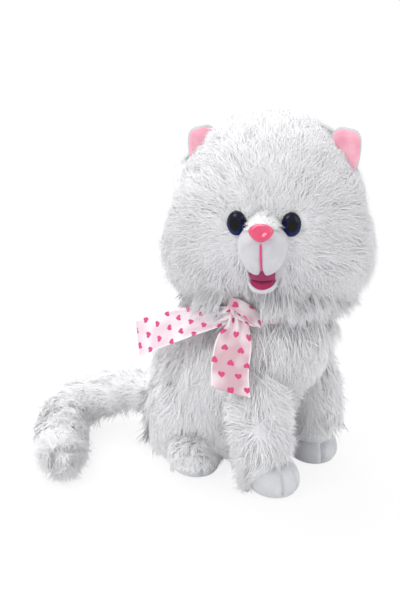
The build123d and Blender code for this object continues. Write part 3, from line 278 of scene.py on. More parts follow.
def make_fur(name, root, tip, sheen):
    """Acrylic long pile: soft matt fibres, painted a little greyer towards the root as painted shade deep in
    the pile.
    """
    made, tree, shader, _ = material(name, {"Roughness": 0.85, "Sheen Weight": sheen, "Sheen Roughness": 0.6,
                                            "Specular IOR Level": 0.25})
    along = add(tree, "ShaderNodeAttribute", {"attribute_name": "along"})
    tuft = add(tree, "ShaderNodeAttribute", {"attribute_name": "tuft"})
    # colour runs from the greyer root to the white tip, with a random tone per tuft; the greyer root is
    # painted shade deep in the pile
    shade = add(tree, "ShaderNodeMath", {"operation": "MULTIPLY_ADD", 1: 0.25}, i0=tuft.outputs["Fac"],
                i2=along.outputs["Fac"])
    level = add(tree, "ShaderNodeMapRange", {"From Min": 0.0, "From Max": 0.85}, Value=shade.outputs[0])
    colour = add(tree, "ShaderNodeMix", {"data_type": "RGBA", 6: linear(root), 7: linear(tip)},
                 i0=level.outputs[0])
    link(tree, shader, Base_Color=colour.outputs[2])
    return made


def make_short_pile(name, dark, light, grain_mm=0.9, depth=0.35):
    """Brushed short-pile plush: a fine uneven nap, drawn coarser than its 0.3 mm fibres so that it shows."""
    made, tree, shader, place = material(name, {"Roughness": 0.9, "Sheen Weight": 0.35,
                                                "Sheen Roughness": 0.5, "Specular IOR Level": 0.2})
    fine = add(tree, "ShaderNodeTexNoise", {"Scale": per(grain_mm), "Detail": 3.0, "Roughness": 0.65},
               Vector=place).outputs["Fac"]
    broad = add(tree, "ShaderNodeTexNoise", {"Scale": per(9.0), "Detail": 1.0}, Vector=place)
    both = add(tree, "ShaderNodeMath", {"operation": "MULTIPLY"}, i0=fine, i1=broad.outputs["Fac"])
    level = add(tree, "ShaderNodeMapRange", {"From Min": 0.1, "From Max": 0.4}, Value=both.outputs[0])
    colour = add(tree, "ShaderNodeMix", {"data_type": "RGBA", 6: linear(dark), 7: linear(light)},
                 i0=level.outputs[0])
    nap = add(tree, "ShaderNodeBump", {"Strength": 0.6, "Distance": depth * MM}, Height=fine)
    link(tree, shader, Base_Color=colour.outputs[2], Normal=nap.outputs["Normal"])
    return made


def make_moulded(name, hex_colour, rough=0.45, texture_mm=0.5):
    """Injection-moulded plastic (ABS or acetal): faintly clouded, with the grain of a spark-eroded mould."""
    made, tree, shader, place = material(name, {"Roughness": rough, "IOR": 1.5})
    grain = add(tree, "ShaderNodeTexNoise", {"Scale": per(texture_mm)}, Vector=place)
    haze = add(tree, "ShaderNodeTexNoise", {"Scale": per(14.0)}, Vector=place)
    level = add(tree, "ShaderNodeMapRange", {"To Min": 0.0, "To Max": 0.5}, Value=haze.outputs["Fac"])
    colour = add(tree, "ShaderNodeMix", {"data_type": "RGBA", 6: linear(hex_colour),
                                         7: linear(darker(hex_colour, 0.86))}, i0=level.outputs[0])
    rise = add(tree, "ShaderNodeBump", {"Strength": 0.15, "Distance": 0.05 * MM}, Height=grain.outputs["Fac"])
    link(tree, shader, Base_Color=colour.outputs[2], Normal=rise.outputs["Normal"])
    return made


def make_steel(name, hex_colour, rough, grain_mm):
    """Drawn or zinc-plated steel: metal with fine streaks, brighter and rougher by turns."""
    made, tree, shader, place = material(name, {"Metallic": 1.0, "Roughness": rough})
    streak = add(tree, "ShaderNodeTexNoise", {"Scale": per(grain_mm), "Detail": 3.0},
                 Vector=place).outputs["Fac"]
    level = add(tree, "ShaderNodeMapRange", {"To Min": rough - 0.08, "To Max": rough + 0.12}, Value=streak)
    colour = add(tree, "ShaderNodeMix", {"data_type": "RGBA", 6: linear(hex_colour), 7: linear("f2f4f6")},
                 i0=streak)
    link(tree, shader, Base_Color=colour.outputs[2], Roughness=level.outputs[0])
    return made


def make_felt(name, dark, light):
    """Pressed wool felt: matt, with short matted fibres."""
    made, tree, shader, place = material(name, {"Roughness": 0.95, "Sheen Weight": 0.2,
                                                "Specular IOR Level": 0.1})
    fibre = add(tree, "ShaderNodeTexNoise", {"Scale": per(0.7), "Detail": 4.0, "Roughness": 0.7},
                Vector=place).outputs["Fac"]
    colour = add(tree, "ShaderNodeMix", {"data_type": "RGBA", 6: linear(dark), 7: linear(light)}, i0=fibre)
    mat = add(tree, "ShaderNodeBump", {"Strength": 0.5, "Distance": 0.25 * MM}, Height=fibre)
    link(tree, shader, Base_Color=colour.outputs[2], Normal=mat.outputs["Normal"])
    return made


# the printed hearts, in millimetres: pitch across and along, shift of every second row, a heart's width
HEART_COLUMN, HEART_ROW, HEART_SHIFT, HEART_WIDTH = 11.0, 9.6, 5.5, 4.6
# each step: its name, what it does, and the numbers or earlier steps that it works on
HEART_STEPS = (
    ("rows", "DIVIDE", "along", HEART_ROW), ("row", "FLOOR", "rows"),
    ("rank", "ABSOLUTE", "row"), ("odd row", "MODULO", "rank", 2.0),
    ("shift", "MULTIPLY", "odd row", HEART_SHIFT), ("shifted", "ADD", "across", "shift"),
    ("past zero", "ADD", "shifted", 200 * HEART_COLUMN), ("columns", "DIVIDE", "past zero", HEART_COLUMN),
    ("part of column", "FRACT", "columns"), ("from column", "MULTIPLY", "part of column", HEART_COLUMN),
    ("sideways", "SUBTRACT", "from column", HEART_COLUMN / 2), ("either side", "ABSOLUTE", "sideways"),
    ("x", "DIVIDE", "either side", HEART_WIDTH / 2),
    ("part of row", "FRACT", "rows"), ("from row", "MULTIPLY", "part of row", HEART_ROW),
    ("upward", "SUBTRACT", "from row", HEART_ROW / 2), ("height", "DIVIDE", "upward", HEART_WIDTH / 2),
    ("pairs", "DIVIDE", "row", 2.0), ("pair", "FLOOR", "pairs"), ("odd pair", "MODULO", "pair", 2.0),
    ("way up", "MULTIPLY_ADD", "odd pair", 2.0, -1.0), ("turned", "MULTIPLY", "height", "way up"),
    ("y", "MULTIPLY", "turned", 1.2), ("y raised", "ADD", "y", 0.25),
    ("root", "SQRT", "x"), ("cleft", "MULTIPLY", "root", 0.72), ("lobe", "SUBTRACT", "y raised", "cleft"),
    ("x squared", "MULTIPLY", "x", "x"), ("lobe squared", "MULTIPLY", "lobe", "lobe"),
    ("from middle", "ADD", "x squared", "lobe squared"), ("heart", "LESS_THAN", "from middle", 1.0),
)


def heart_mask(tree, across, along):
    """1 inside hearts laid out like bricks: x^2 + (1.2 y + 0.25 - 0.72 sqrt|x|)^2 < 1 in heart half widths.

    Two rows of hearts stand one way up and the next two the other way.
    """
    found = {"across": across, "along": along}
    for name, operation, *inputs in HEART_STEPS:
        numbers = {i: value for i, value in enumerate(inputs) if not isinstance(value, str)}
        steps = {f"i{i}": found[value] for i, value in enumerate(inputs) if isinstance(value, str)}
        found[name] = add(tree, "ShaderNodeMath", {"operation": operation, **numbers}, **steps).outputs[0]
    return found["heart"]


def make_satin(name, low, high, rough):
    """Polyester satin ribbon: fine crosswise sheen, soft patches of painted sheen and shade, woven edge with
    a painted glint, small printed hearts.

    Its threads are 0.14 mm apart, and the woven edge is the last millimetre on each side.
    """
    made, tree, shader, place = material(name, {"Roughness": rough, "Sheen Weight": 0.2,
                                                "Sheen Roughness": 0.35, "Anisotropic": 0.5})
    uv = add(tree, "ShaderNodeUVMap", {"uv_map": "ribbon"}).outputs["UV"]
    across, along, _ = add(tree, "ShaderNodeSeparateXYZ", None, Vector=uv).outputs
    hearts = heart_mask(tree, across, along)
    threads = add(tree, "ShaderNodeTexWave", {"Scale": 2.2, "bands_direction": "Y", "Distortion": 1.5},
                  Vector=uv)
    # lighter and darker patches between low and high colours: painted sheen and painted shade
    painted_sheen = add(tree, "ShaderNodeTexNoise", {"Scale": per(17.0), "Detail": 1.0}, Vector=place)
    band = add(tree, "ShaderNodeMapRange", {"From Min": 0.42, "From Max": 0.62}, Value=painted_sheen.outputs["Fac"])
    base = add(tree, "ShaderNodeMix", {"data_type": "RGBA", 6: linear(low), 7: linear(high)},
               i0=band.outputs[0])
    # the last millimetre on each side turns paler: partly the woven edge's own colour, partly a painted glint
    edge = add(tree, "ShaderNodeMath", {"operation": "ABSOLUTE"}, i0=across)
    woven_edge_glint = add(tree, "ShaderNodeMapRange", {"From Min": 11.4, "From Max": 12.0}, Value=edge.outputs[0])
    pale = add(tree, "ShaderNodeMix", {"data_type": "RGBA", 7: linear("f6ecef")}, i0=woven_edge_glint.outputs[0],
               i6=base.outputs[2])
    print_over = add(tree, "ShaderNodeMix", {"data_type": "RGBA", 7: linear("d0437c")}, i0=hearts,
                     i6=pale.outputs[2])
    weave = add(tree, "ShaderNodeBump", {"Strength": 0.25, "Distance": 0.08 * MM},
                Height=threads.outputs["Fac"])
    link(tree, shader, Base_Color=print_over.outputs[2], Normal=weave.outputs["Normal"])
    return made


def make_eye():
    """Cast acrylic safety eye: near-black pupil, dark blue iris painted lighter low down as painted light,
    under a hard clear coat.

    The eye_spot attribute holds the distance from the middle, how low a point is, and the angle round it.
    """
    made, tree, shader, _ = material("acrylic_eye", {"Roughness": 0.2, "Coat Weight": 0.35,
                                                     "Coat Roughness": 0.02, "IOR": 1.49,
                                                     "Specular IOR Level": 0.05})
    spot = add(tree, "ShaderNodeAttribute", {"attribute_name": "eye_spot"}).outputs["Vector"]
    radius, low, _ = add(tree, "ShaderNodeSeparateXYZ", None, Vector=spot).outputs
    fibres = add(tree, "ShaderNodeTexNoise", {"Scale": 5.0, "Detail": 3.0}, Vector=spot)
    # the lower iris is painted lighter: painted light
    lit = add(tree, "ShaderNodeMath", {"operation": "MULTIPLY"}, i0=low, i1=fibres.outputs["Fac"])
    iris = add(tree, "ShaderNodeMix", {"data_type": "RGBA", 6: linear("050822"), 7: linear("14236e")},
               i0=lit.outputs[0])
    pupil = add(tree, "ShaderNodeMapRange", {"From Min": 0.5, "From Max": 0.56}, Value=radius)
    inner = add(tree, "ShaderNodeMix", {"data_type": "RGBA", 6: linear("020204")}, i0=pupil.outputs[0],
                i7=iris.outputs[2])
    rim = add(tree, "ShaderNodeMapRange", {"From Min": 0.88, "From Max": 0.96}, Value=radius)
    whole = add(tree, "ShaderNodeMix", {"data_type": "RGBA", 7: linear("080a22")}, i0=rim.outputs[0],
                i6=inner.outputs[2])
    link(tree, shader, Base_Color=whole.outputs[2])
    return made


def make_nose():
    """Glossy moulded vinyl nose in coral pink, slightly uneven in tone."""
    made, tree, shader, place = material("glossy_vinyl_nose", {"Roughness": 0.16, "Coat Weight": 0.6,
                                                               "Coat Roughness": 0.05})
    tone = add(tree, "ShaderNodeTexNoise", {"Scale": per(7.0), "Detail": 1.0}, Vector=place)
    colour = add(tree, "ShaderNodeMix", {"data_type": "RGBA", 6: linear("d2305a"), 7: linear("e2507a")},
                 i0=tone.outputs["Fac"])
    link(tree, shader, Base_Color=colour.outputs[2])
    return made


def make_board():
    """Epoxy laminate with green solder mask and a hint of copper tracks about 4 mm by 2 mm apart."""
    made, tree, shader, place = material("board_laminate", {"Roughness": 0.3})
    tracks = add(tree, "ShaderNodeTexBrick", {"Scale": 120.0, "Mortar Size": 0.03, "Color1": linear("0e5a2c"),
                                              "Color2": linear("0c4f27"), "Mortar": linear("2c8a4e")},
                 Vector=place)
    link(tree, shader, Base_Color=tracks.outputs["Color"])
    return made


def make_cell():
    """Printed shrink sleeve of an alkaline cell: dark blue with a copper band, no lettering."""
    made, tree, shader, place = material("cell_sleeve", {"Roughness": 0.25, "Metallic": 0.4})
    sideways = add(tree, "ShaderNodeSeparateXYZ", None, Vector=place).outputs[0]
    band = add(tree, "ShaderNodeMath", {"operation": "GREATER_THAN", 1: 10 * MM}, i0=sideways)
    colour = add(tree, "ShaderNodeMix", {"data_type": "RGBA", 6: linear("1c2d52"), 7: linear("b0703c")},
                 i0=band.outputs[0])
    link(tree, shader, Base_Color=colour.outputs[2])
    return made


# the greyer root colour f0f0f2 is painted shade deep in the pile; the tip colour is the fibre's own white
LONG_PILE = make_fur("long_pile_acrylic_fur", "f0f0f2", "fdfdfe", 0.2)
FUR_BACKING = make_short_pile("fur_backing", "d2d2d4", "e2e2e4", 1.2, 0.5)
# the white short pile of the paws, cuffs and outer ears is coloured grey: painted shade
SHORT_PILE = make_short_pile("short_pile_white_plush", "c6c7ca", "d6d7d9")
# the white sheared plush of the muzzle and chin is coloured grey: painted shade
MUZZLE_PILE = make_short_pile("sheared_white_plush_painted_shade", "bdbdc1", "cdcdd1", 0.6, 0.15)
PINK_PILE = make_short_pile("short_pile_pink_plush", "ee9fb4", "fbc3cf", 0.8, 0.3)
MOUTH_FELT = make_felt("mouth_felt", "86264d", "a6426e")
TONGUE_FELT = make_felt("tongue_felt", "96264f", "b5406c")
SATIN = make_satin("printed_satin_ribbon", "e3cdd5", "f3eaee", 0.34)
# a darker, greyer copy of the satin for the hanging tail, the knot and the loop: its darker colour is painted
# shade; it is rougher as well
SATIN_SHADED = make_satin("printed_satin_ribbon_shaded", "cda9b1", "e8d9dd", 0.5)
EYE = make_eye()
NOSE = make_nose()
PINK_THREAD = make_felt("pink_embroidery_thread", "c83f70", "e2588a")
GREY_THREAD = make_felt("white_stitching_thread", "b9bac2", "d6d7dd")
CAD_MATERIALS = {
    "housing_plastic": make_moulded("abs_housing", "dcdcd6"),
    "gear_plastic": make_moulded("natural_acetal_gear", "efece0", 0.35, 0.4),
    "button_plastic": make_moulded("orange_abs_button", "e08a2a", 0.4),
    "black_plastic": make_moulded("black_abs", "1b1c1e", 0.4),
    "board_laminate": make_board(),
    "zinc_steel": make_steel("zinc_plated_steel", "b9bec6", 0.3, 1.5),
    "motor_steel": make_steel("drawn_steel_can", "a9adb2", 0.28, 2.5),
    "cell_jacket": make_cell(),
    "speaker_paper": make_felt("pressed_paper_cone", "141414", "262626"),
    "hook_tape": make_short_pile("woven_hook_tape", "d2d2d2", "f0f0f0", 1.5, 0.6),
    "nose_plastic": NOSE,
    "eye_plastic": EYE,
    "long_pile_fur": LONG_PILE,
    "short_pile_plush": SHORT_PILE,
    "pink_plush": PINK_PILE,
    "pink_felt": MOUTH_FELT,
    "satin_ribbon": SATIN,
}
for part in frame["record"]["subparts"]:
    node = frame["nodes"][part["node"]]
    node.data.materials.clear()
    node.data.materials.append(CAD_MATERIALS[part["material_slot"]])


# ------------------------------------------------------------------ fur
def surface_normals(surface, u, v):
    """Outward normals of a surface by differences along u and v."""
    step = 0.003
    du = surface((u + step) % 1, v) - surface((u - step) % 1, v)
    dv = surface(u, np.minimum(v + step, 1)) - surface(u, np.maximum(v - step, 0))
    return unit(np.cross(du, dv))


def scatter(surface, count, rng, keep=None):
    """Points spread evenly by area over a surface, with their outward normals."""
    n = 140      # cells each way that the surface is weighed in
    u, v = np.meshgrid(np.arange(n) / n, np.linspace(0, 1, n + 1)[:-1], indexing="ij")
    here, right, up = surface(u, v), surface(u + 1 / n, v), surface(u, v + 1 / n)
    area = np.linalg.norm(np.cross(right - here, up - here), axis=-1).ravel()
    if keep is not None:
        area = area * keep(here.reshape(-1, 3))
    chosen = rng.choice(n * n, size=count, p=area / area.sum())
    u = (chosen // n + rng.random(count)) / n
    v = (chosen % n + rng.random(count)) / n
    points = surface(u, v)
    normals = surface_normals(surface, u, v)
    return points, normals


def strand_mesh(paths, widths, flat_side, facing, roundness):
    """Closed tapered fibres: a flattened triangle carried along each path and drawn to a point.

    paths is strands x rings x 3, and the last ring is the tip. widths is strands x (rings - 1). The shading
    normals are the way each ring faces from the stuffed form, plus a share of the fibre's own roundness, as
    light that passes through pale pile makes it look.
    """
    strands, rings = paths.shape[:2]
    along = unit(np.gradient(paths, axis=1))
    side = unit(np.cross(along, flat_side[:, None, :]))
    lift = np.cross(side, along)
    angles = np.radians([90.0, 210.0, 330.0])
    ring = (side[:, :-1, None, :] * np.cos(angles)[None, None, :, None]
            + FIBRE_FLAT * lift[:, :-1, None, :] * np.sin(angles)[None, None, :, None])
    body = paths[:, :-1, None, :] + ring * widths[:, :, None, None]
    corners = (rings - 1) * 3
    points = np.concatenate([body.reshape(strands, corners, 3), paths[:, -1:, :]], axis=1)
    ring, toward = ring.reshape(strands, corners, 3), np.repeat(facing[:, :-1], 3, axis=1)
    agree = np.clip(0.75 + 1.4 * np.sum(unit(ring) * toward, -1, keepdims=True), 0, 1)
    own = roundness * ring + agree * toward
    normals = unit(np.concatenate([own, facing[:, -1:] + 0.5 * along[:, -1:, :]], axis=1))
    faces = [(0, 1, 2)]
    for r in range(rings - 2):
        for c in range(3):
            a, b = r * 3 + c, r * 3 + (c + 1) % 3
            faces += [(a, b + 3, b), (a, a + 3, b + 3)]
    top = (rings - 2) * 3
    faces += [(top + c, corners, top + (c + 1) % 3) for c in range(3)]
    faces = np.array(faces)
    every = (faces[None] + (np.arange(strands) * (corners + 1))[:, None, None]).reshape(-1, 3)
    return points, every, normals.reshape(-1, 3)


def grow(name, surface, place, body, nodes, *, tufts, per_tuft, length, height, flow, seed, keep=None,
         drop=None, spread=4.5, width=0.38, gather=0.35, droop=0.1, curl=1.6, sway=0.2, parts=1, rings=3,
         core=None, roundness=OWN_NORMAL):
    """Fur in tufts: fibres start round a tuft's root, rise off the skin, follow its flow, gather to its tip.

    For t from 0 to 1 a fibre is at root + height (1 - (1 - t)^2) normal + length t flow
    + offset (1 - gather t), with a sideways wave of curl mm and a droop that grows with t squared.
    keep weighs where tufts start, drop picks fibres to leave out, and core gives the middle that the
    fibres face away from.
    """
    rng = np.random.default_rng(seed)
    roots, normals = scatter(surface, tufts, rng, keep)
    over = (normals[:, 2] > -0.55) | (roots[:, 2] > 60)      # none under the seat and the legs
    roots, normals = roots[over], normals[over]
    size = length(roots) if callable(length) else np.full(len(roots), float(length))
    rise = height(roots) if callable(height) else np.full(len(roots), float(height))
    aim = flow(roots, normals)
    aim = unit(aim - normals * np.sum(aim * normals, -1, keepdims=True))
    side = np.cross(normals, aim)
    turn = rng.normal(0, 0.38, len(roots))[:, None]
    aim, side = aim * np.cos(turn) + side * np.sin(turn), side * np.cos(turn) - aim * np.sin(turn)
    reach = np.sqrt(rng.random((len(roots), per_tuft))) * spread
    angle = rng.random((len(roots), per_tuft)) * 2 * np.pi
    offset = ((reach * np.cos(angle))[..., None] * aim[:, None]
              + (reach * np.sin(angle))[..., None] * side[:, None])
    long = size[:, None] * rng.uniform(0.72, 1.12, reach.shape) * rng.uniform(0.85, 1.12, (len(roots), 1))
    high = rise[:, None] * rng.uniform(0.65, 1.12, reach.shape) * rng.uniform(0.86, 1.14, (len(roots), 1))
    phase = rng.uniform(0, 2 * np.pi, (len(roots), 1)) + rng.normal(0, 0.5, reach.shape)
    lean = rng.normal(0, sway, reach.shape)
    t = np.linspace(0, 1, rings)
    shape = (slice(None), slice(None), None, None)
    wave = curl * (np.sin(phase[..., None] + 4.2 * t) - np.sin(phase[..., None])) * t
    paths = (roots[:, None, None] - ROOT_DEPTH * normals[:, None, None]
             + offset[:, :, None] * (1 - gather * t)[None, None, :, None]
             + high[shape] * (1 - (1 - t) ** 2)[None, None, :, None] * normals[:, None, None]
             + long[shape] * (t * (1 - 0.08 * t))[None, None, :, None] * aim[:, None, None]
             + (wave + lean[..., None] * long[..., None] * t)[..., None] * side[:, None, None])
    paths[..., 2] -= droop * long[..., None] * t**2
    paths = paths.reshape(-1, rings, 3)
    tone = np.repeat(rng.random(len(roots)), per_tuft)
    flat = np.repeat(normals, per_tuft, axis=0)
    thick = width * rng.uniform(0.75, 1.25, (len(paths), 1)) * np.linspace(1, 0.62, rings - 1)[None]
    if drop is not None:
        stay = ~drop(paths)
        paths, tone, flat, thick = paths[stay], tone[stay], flat[stay], thick[stay]
    facing = np.repeat(flat[:, None], rings, axis=1) if core is None else unit(paths - core(paths))
    paths = place(paths)
    flat, facing = (unit(place(n) - place(np.zeros(3))) for n in (flat, facing))
    low = FLOOR_GAP + 0.9 * width
    paths[..., 2] = np.where(paths[..., 2] < low, low + 0.04 * (low - paths[..., 2]), paths[..., 2])
    for i, chosen in enumerate(np.array_split(np.arange(len(paths)), parts)):
        points, faces, normals = strand_mesh(paths[chosen], thick[chosen], flat[chosen], facing[chosen],
                                             roundness)
        label = name if parts == 1 else f"{name}_{i + 1}"
        fur = piece(label, points, faces, LONG_PILE, body, clean=False, nodes=nodes)
        fur.data.normals_split_custom_set_from_vertices(normals.astype(np.float32))
        count = 3 * (rings - 1) + 1
        level = np.append(np.repeat(t[:-1], 3), 1.0)
        shades = {"along": np.tile(level, len(chosen)), "tuft": np.repeat(tone[chosen], count)}
        for attribute, values in shades.items():
            layer = fur.data.attributes.new(attribute, "FLOAT", "POINT")
            layer.data.foreach_set("value", values.astype(np.float32))


def downward(p, n):
    """The way that hanging pile points."""
    return np.tile([0.0, 0.0, -1.0], (len(p), 1))


def inside_stack(rows, at, grow_by=0.0):
    """Test for points inside an oval stack, measured level by level."""
    rows = np.asarray(rows, float)

    def test(p):
        z = p[:, 2]
        half, front, rear = (np.interp(z, rows[:, 0], rows[:, k]) for k in (1, 2, 3))
        depth = np.maximum((rear - front) / 2 + grow_by, 0.1)
        half = np.maximum(half + grow_by, 0.1)
        x, y = p[:, 0] - at[0], p[:, 1] - at[1] - (front + rear) / 2
        return ((x / half) ** 2 + (y / depth) ** 2 < 1) & (z > rows[0, 0]) & (z < rows[-1, 0])
    return test


# ------------------------------------------------------------------ body
TORSO = [
    (1.2, 0, 16, 16.01), (1.0, 22, -6, 42), (4.0, 38, -20, 54), (11, 45, -31, 60), (22, 49, -38, 63),
    (46, 50.5, -43, 60), (66, 50.5, -51, 54), (84, 48.5, -59, 46), (98, 45, -63.5, 39), (110, 41, -65, 26),
    (121, 36.8, -62.8, 10.8), (133, 36.2, -62.2, 10.2), (137.6, 33, -59, 7), (138.4, 24, -50, -2),
    (138.0, 9.5, -35.5, -16.5), (134, 8.6, -34.6, -17.4), (117, 8.6, -34.6, -17.4),
]
FRONT_LEG = [
    (7.0, 0, 0, 0.01), (7.5, 9, -9, 9), (15, 13.5, -13.5, 13.5), (34, 15.8, -15.5, 15.5),
    (58, 15.2, -13.5, 17.5), (76, 13, -8.5, 18.5), (90, 8.5, 0, 16), (95, 0, 8, 8.01),
]
HAUNCH = [
    (4.0, 0, 0, 0.01), (4.2, 8, -16, 14), (9, 12.5, -22, 21), (22, 15.3, -25.5, 25), (46, 13.5, -22.5, 22),
    (62, 8.5, -14, 14), (69, 3.5, -6, 6), (71, 0, 0, 0.01),
]
PAW = [
    (0.6, 0, 0, 0.01), (0.5, 9, -11, 10), (2.2, 14.6, -16.8, 16), (8, 17.0, -19.6, 18.5),
    (15, 16.2, -18.2, 16.5), (21, 13.0, -13.5, 13), (25, 7.5, -7.5, 8), (26.4, 0, 0, 0.01),
]
LEGS = {"left": (30.0, -43.0), "right": (-29.0, -54.0)}
HAUNCHES = {"left": (43.0, 23.0), "right": (-43.0, 23.0)}
PAWS = {"front_paw_left": (30.0, -42.0), "front_paw_right": (-24.0, -60.0), "hind_paw_left": (48.0, -2.0),
        "hind_paw_right": (-48.0, -2.0)}


def pocket(points, margin=0.0):
    """Points that lie in the opening behind the back flap."""
    x, y, z = points[..., 0], points[..., 1], points[..., 2]
    beside = np.abs(x - POCKET["middle"]) < POCKET["half"] + margin
    return beside & (y > 20) & (z > POCKET["low"] - margin) & (z < POCKET["high"] + margin)


def sink_pocket(points):
    """Lets the fabric down to the housing round the opening of the flap."""
    points = points.copy()
    points[..., 1] = np.where(pocket(points), POCKET["depth"], points[..., 1])
    return points


torso_surface = oval_stack(TORSO)
skin("torso_skin", torso_surface, same_place, "body", ["torso"], 120, 120, shape=sink_pocket)
in_haunch = {side: inside_stack(HAUNCH, at, 1.0) for side, at in HAUNCHES.items()}
in_leg = {side: inside_stack(FRONT_LEG, at, 1.0) for side, at in LEGS.items()}
in_torso = inside_stack(TORSO[:13], (0, 0), -1.0)
in_paw = {name: inside_stack(PAW, at, 0.5) for name, at in PAWS.items()}


def torso_keep(p):
    """Fur everywhere but under the seat, under the neck ribbon, in the pocket and inside the legs."""
    hidden = (p[:, 2] < 3) | (p[:, 2] > 120.5) | pocket(p, 0.5) | ((p[:, 2] < 14) & (p[:, 1] < -12))
    for test in list(in_haunch.values()) + list(in_leg.values()):
        hidden |= test(p)
    return np.where(hidden, 0.0, 1.0)


def whorl(centre, radius, strength):
    """A flow that spreads out from a parting, strongest at its centre."""
    def flow(p):
        away = p - np.array(centre)
        near = np.exp(-np.sum(away**2, -1) / radius**2)[:, None]
        return strength * near * unit(away)
    return flow


leg_whorl = whorl((-43.0, -66.0, 48.0), 20.0, 1.8)


def body_flow(p, n):
    """Down the body, a little outward, with a slow wander of the combing."""
    x, y, z = p.T
    wander = np.stack([np.sin(z / 17 + y / 23), np.cos(x / 19 + z / 29), 0 * x], -1)
    return downward(p, n) + 0.45 * wander + leg_whorl(p)


def torso_length(p):
    """Long pile, shorter just above the flap."""
    over_flap = (np.abs(p[:, 0] - 2) < 27) & (p[:, 1] > 10) & (p[:, 2] > 85) & (p[:, 2] < 100)
    return np.where(over_flap, 13.0, 21.0)


SLEEVE_END = {"front": (21.0, 4.0), "hind": (13.0, -3.0)}   # lowest pile over a paw, and how far back


def over_paw(paths):
    """Fibres that would hang over the bare front of a paw, or pass through it."""
    x, y, z = paths[:, 1:, 0], paths[:, 1:, 1], paths[:, 1:, 2]
    hit = np.zeros(len(paths), bool)
    for name, at in PAWS.items():
        top, behind = SLEEVE_END[name.split("_")[0]]
        round_it = ((x - at[0]) / 25) ** 2 + ((y - at[1]) / 29) ** 2 < 1
        hit |= (round_it & (z < top) & (y - at[1] < behind)).any(axis=1)
        hit |= in_paw[name](paths[:, 1:].reshape(-1, 3)).reshape(len(paths), -1).any(axis=1)
    return hit


def bulge(p, centre, reach):
    """1 at a place, falling smoothly to 0 about 1.7 reach away."""
    return np.exp(-np.sum((p - np.array(centre)) ** 2, -1) / reach**2)


def torso_height(p):
    """The pile stands up over the left shoulder, at the throat and where the tail's pile meets the rump."""
    return (5.5 + 6 * bulge(p, (32, -46, 114), 18) + 5 * bulge(p, (-14, -60, 116), 22)
            + 14 * bulge(p, (-38, 35, 88), 28))


grow("torso_fur", torso_surface, same_place, "body", ["torso"], tufts=1500, per_tuft=28, length=torso_length,
     height=torso_height, flow=body_flow, seed=11, keep=torso_keep, drop=over_paw, parts=3, spread=5.5)


def haunch_height(p):
    """Full pile in front and behind, flatter on the outer side."""
    return 6.0 - 3.0 * smooth_step(np.abs(p[:, 0]), 48, 58)


# each kind of leg: its rows and places, tufts, length and height of pile, first seed, and lowest root
for kind, rows, places, tufts, long, tall, seed, lowest in (
        ("front_leg", FRONT_LEG, LEGS, 330, 18.0, 5.5, 21, 10),
        ("hind_leg", HAUNCH, HAUNCHES, 300, 20.0, haunch_height, 31, 5)):
    for side, at in places.items():
        node = f"{kind}_{side}"
        surface = oval_stack(rows, at)
        skin(f"{node}_skin", surface, same_place, "body", [node], 64, 48)
        grow(f"{node}_fur", surface, same_place, "body", [node], tufts=tufts, per_tuft=28, length=long,
             height=tall, flow=body_flow, seed=seed + int(at[0] > 0), drop=over_paw,
             keep=lambda p: np.where(in_torso(p) | (p[:, 2] < lowest), 0.0, 1.0))


# ------------------------------------------------------------------ paws
TOE_GROOVES = {"inner": -20.0, "outer": 20.0}     # degrees from straight ahead


def toes(at):
    """Three toes at the front: the surface is drawn in along two grooves, one at 20 degrees on each side.

    A groove is 2.1 exp(-((angle - groove) / 5.5)^2) mm deep, and fades out below 6 mm and above 17 mm.
    """
    def shape(points):
        x, y = points[..., 0] - at[0], points[..., 1] - at[1]
        angle = np.degrees(np.arctan2(x, -y))
        depth = np.zeros_like(x)
        for groove in TOE_GROOVES.values():
            depth += 2.1 * np.exp(-((angle - groove) / 5.5) ** 2)
        depth *= smooth_step(points[..., 2], 1.5, 6.0) * (1 - smooth_step(points[..., 2], 17.0, 22.0))
        reach = np.maximum(np.hypot(x, y), 1e-6)
        keep = 1 - depth / np.maximum(reach, 6.0)
        return np.stack([at[0] + x * keep, at[1] + y * keep, points[..., 2]], -1)
    return shape


def thread(name, line, radius, colour, body):
    """Embroidery thread: a thin tube through the points of a line, drawn to a point at both ends."""
    route = np.column_stack([line, np.full(len(line), radius)])
    route[[0, -1], 3] = 0.05
    closed_piece(name, tube_along(route), (8, 4 * len(line)), colour, same_place, body)


for name, at in PAWS.items():
    surface = oval_stack(PAW, at)
    skin(name + "_skin", surface, same_place, "body", [name], 112, 60, shape=toes(at), fabric=SHORT_PILE)
    for label, groove in TOE_GROOVES.items():
        v = np.linspace(0.30, 0.66, 9)
        line = toes(at)(surface(np.full(9, groove / 360 % 1), v))
        thread(f"{name}_stitch_{label}", line, 0.45, GREY_THREAD, "body")


def cuff_keep(p):
    """The upper part of a hind paw, and more of its rear."""
    return np.where((p[:, 2] > 13) | ((p[:, 1] > 4) & (p[:, 2] > 5)), 1.0, 0.0)


def cuff_flow(p, n):
    """Forward and down over the instep."""
    return np.stack([0.3 * n[:, 0], 0.3 * n[:, 1] - 0.4, -1.0 + 0 * p[:, 0]], -1)


def cuff_height(p):
    """Higher where the paw meets the haunch."""
    return 2.5 + 3.0 * smooth_step(p[:, 2], 16, 25)


def below_instep(paths):
    """Fibres that would hang over the toes."""
    return ((paths[..., 2] < 6.5) & (paths[..., 1] < -4)).any(axis=1)


for side in ("left", "right"):
    name = f"hind_paw_{side}"
    grow(f"{name}_cuff", oval_stack(PAW, PAWS[name]), same_place, "body", [name], tufts=210, per_tuft=22,
         length=7.5, height=cuff_height, flow=cuff_flow, seed=37 + (side == "left"), keep=cuff_keep,
         drop=below_instep, spread=3.0)


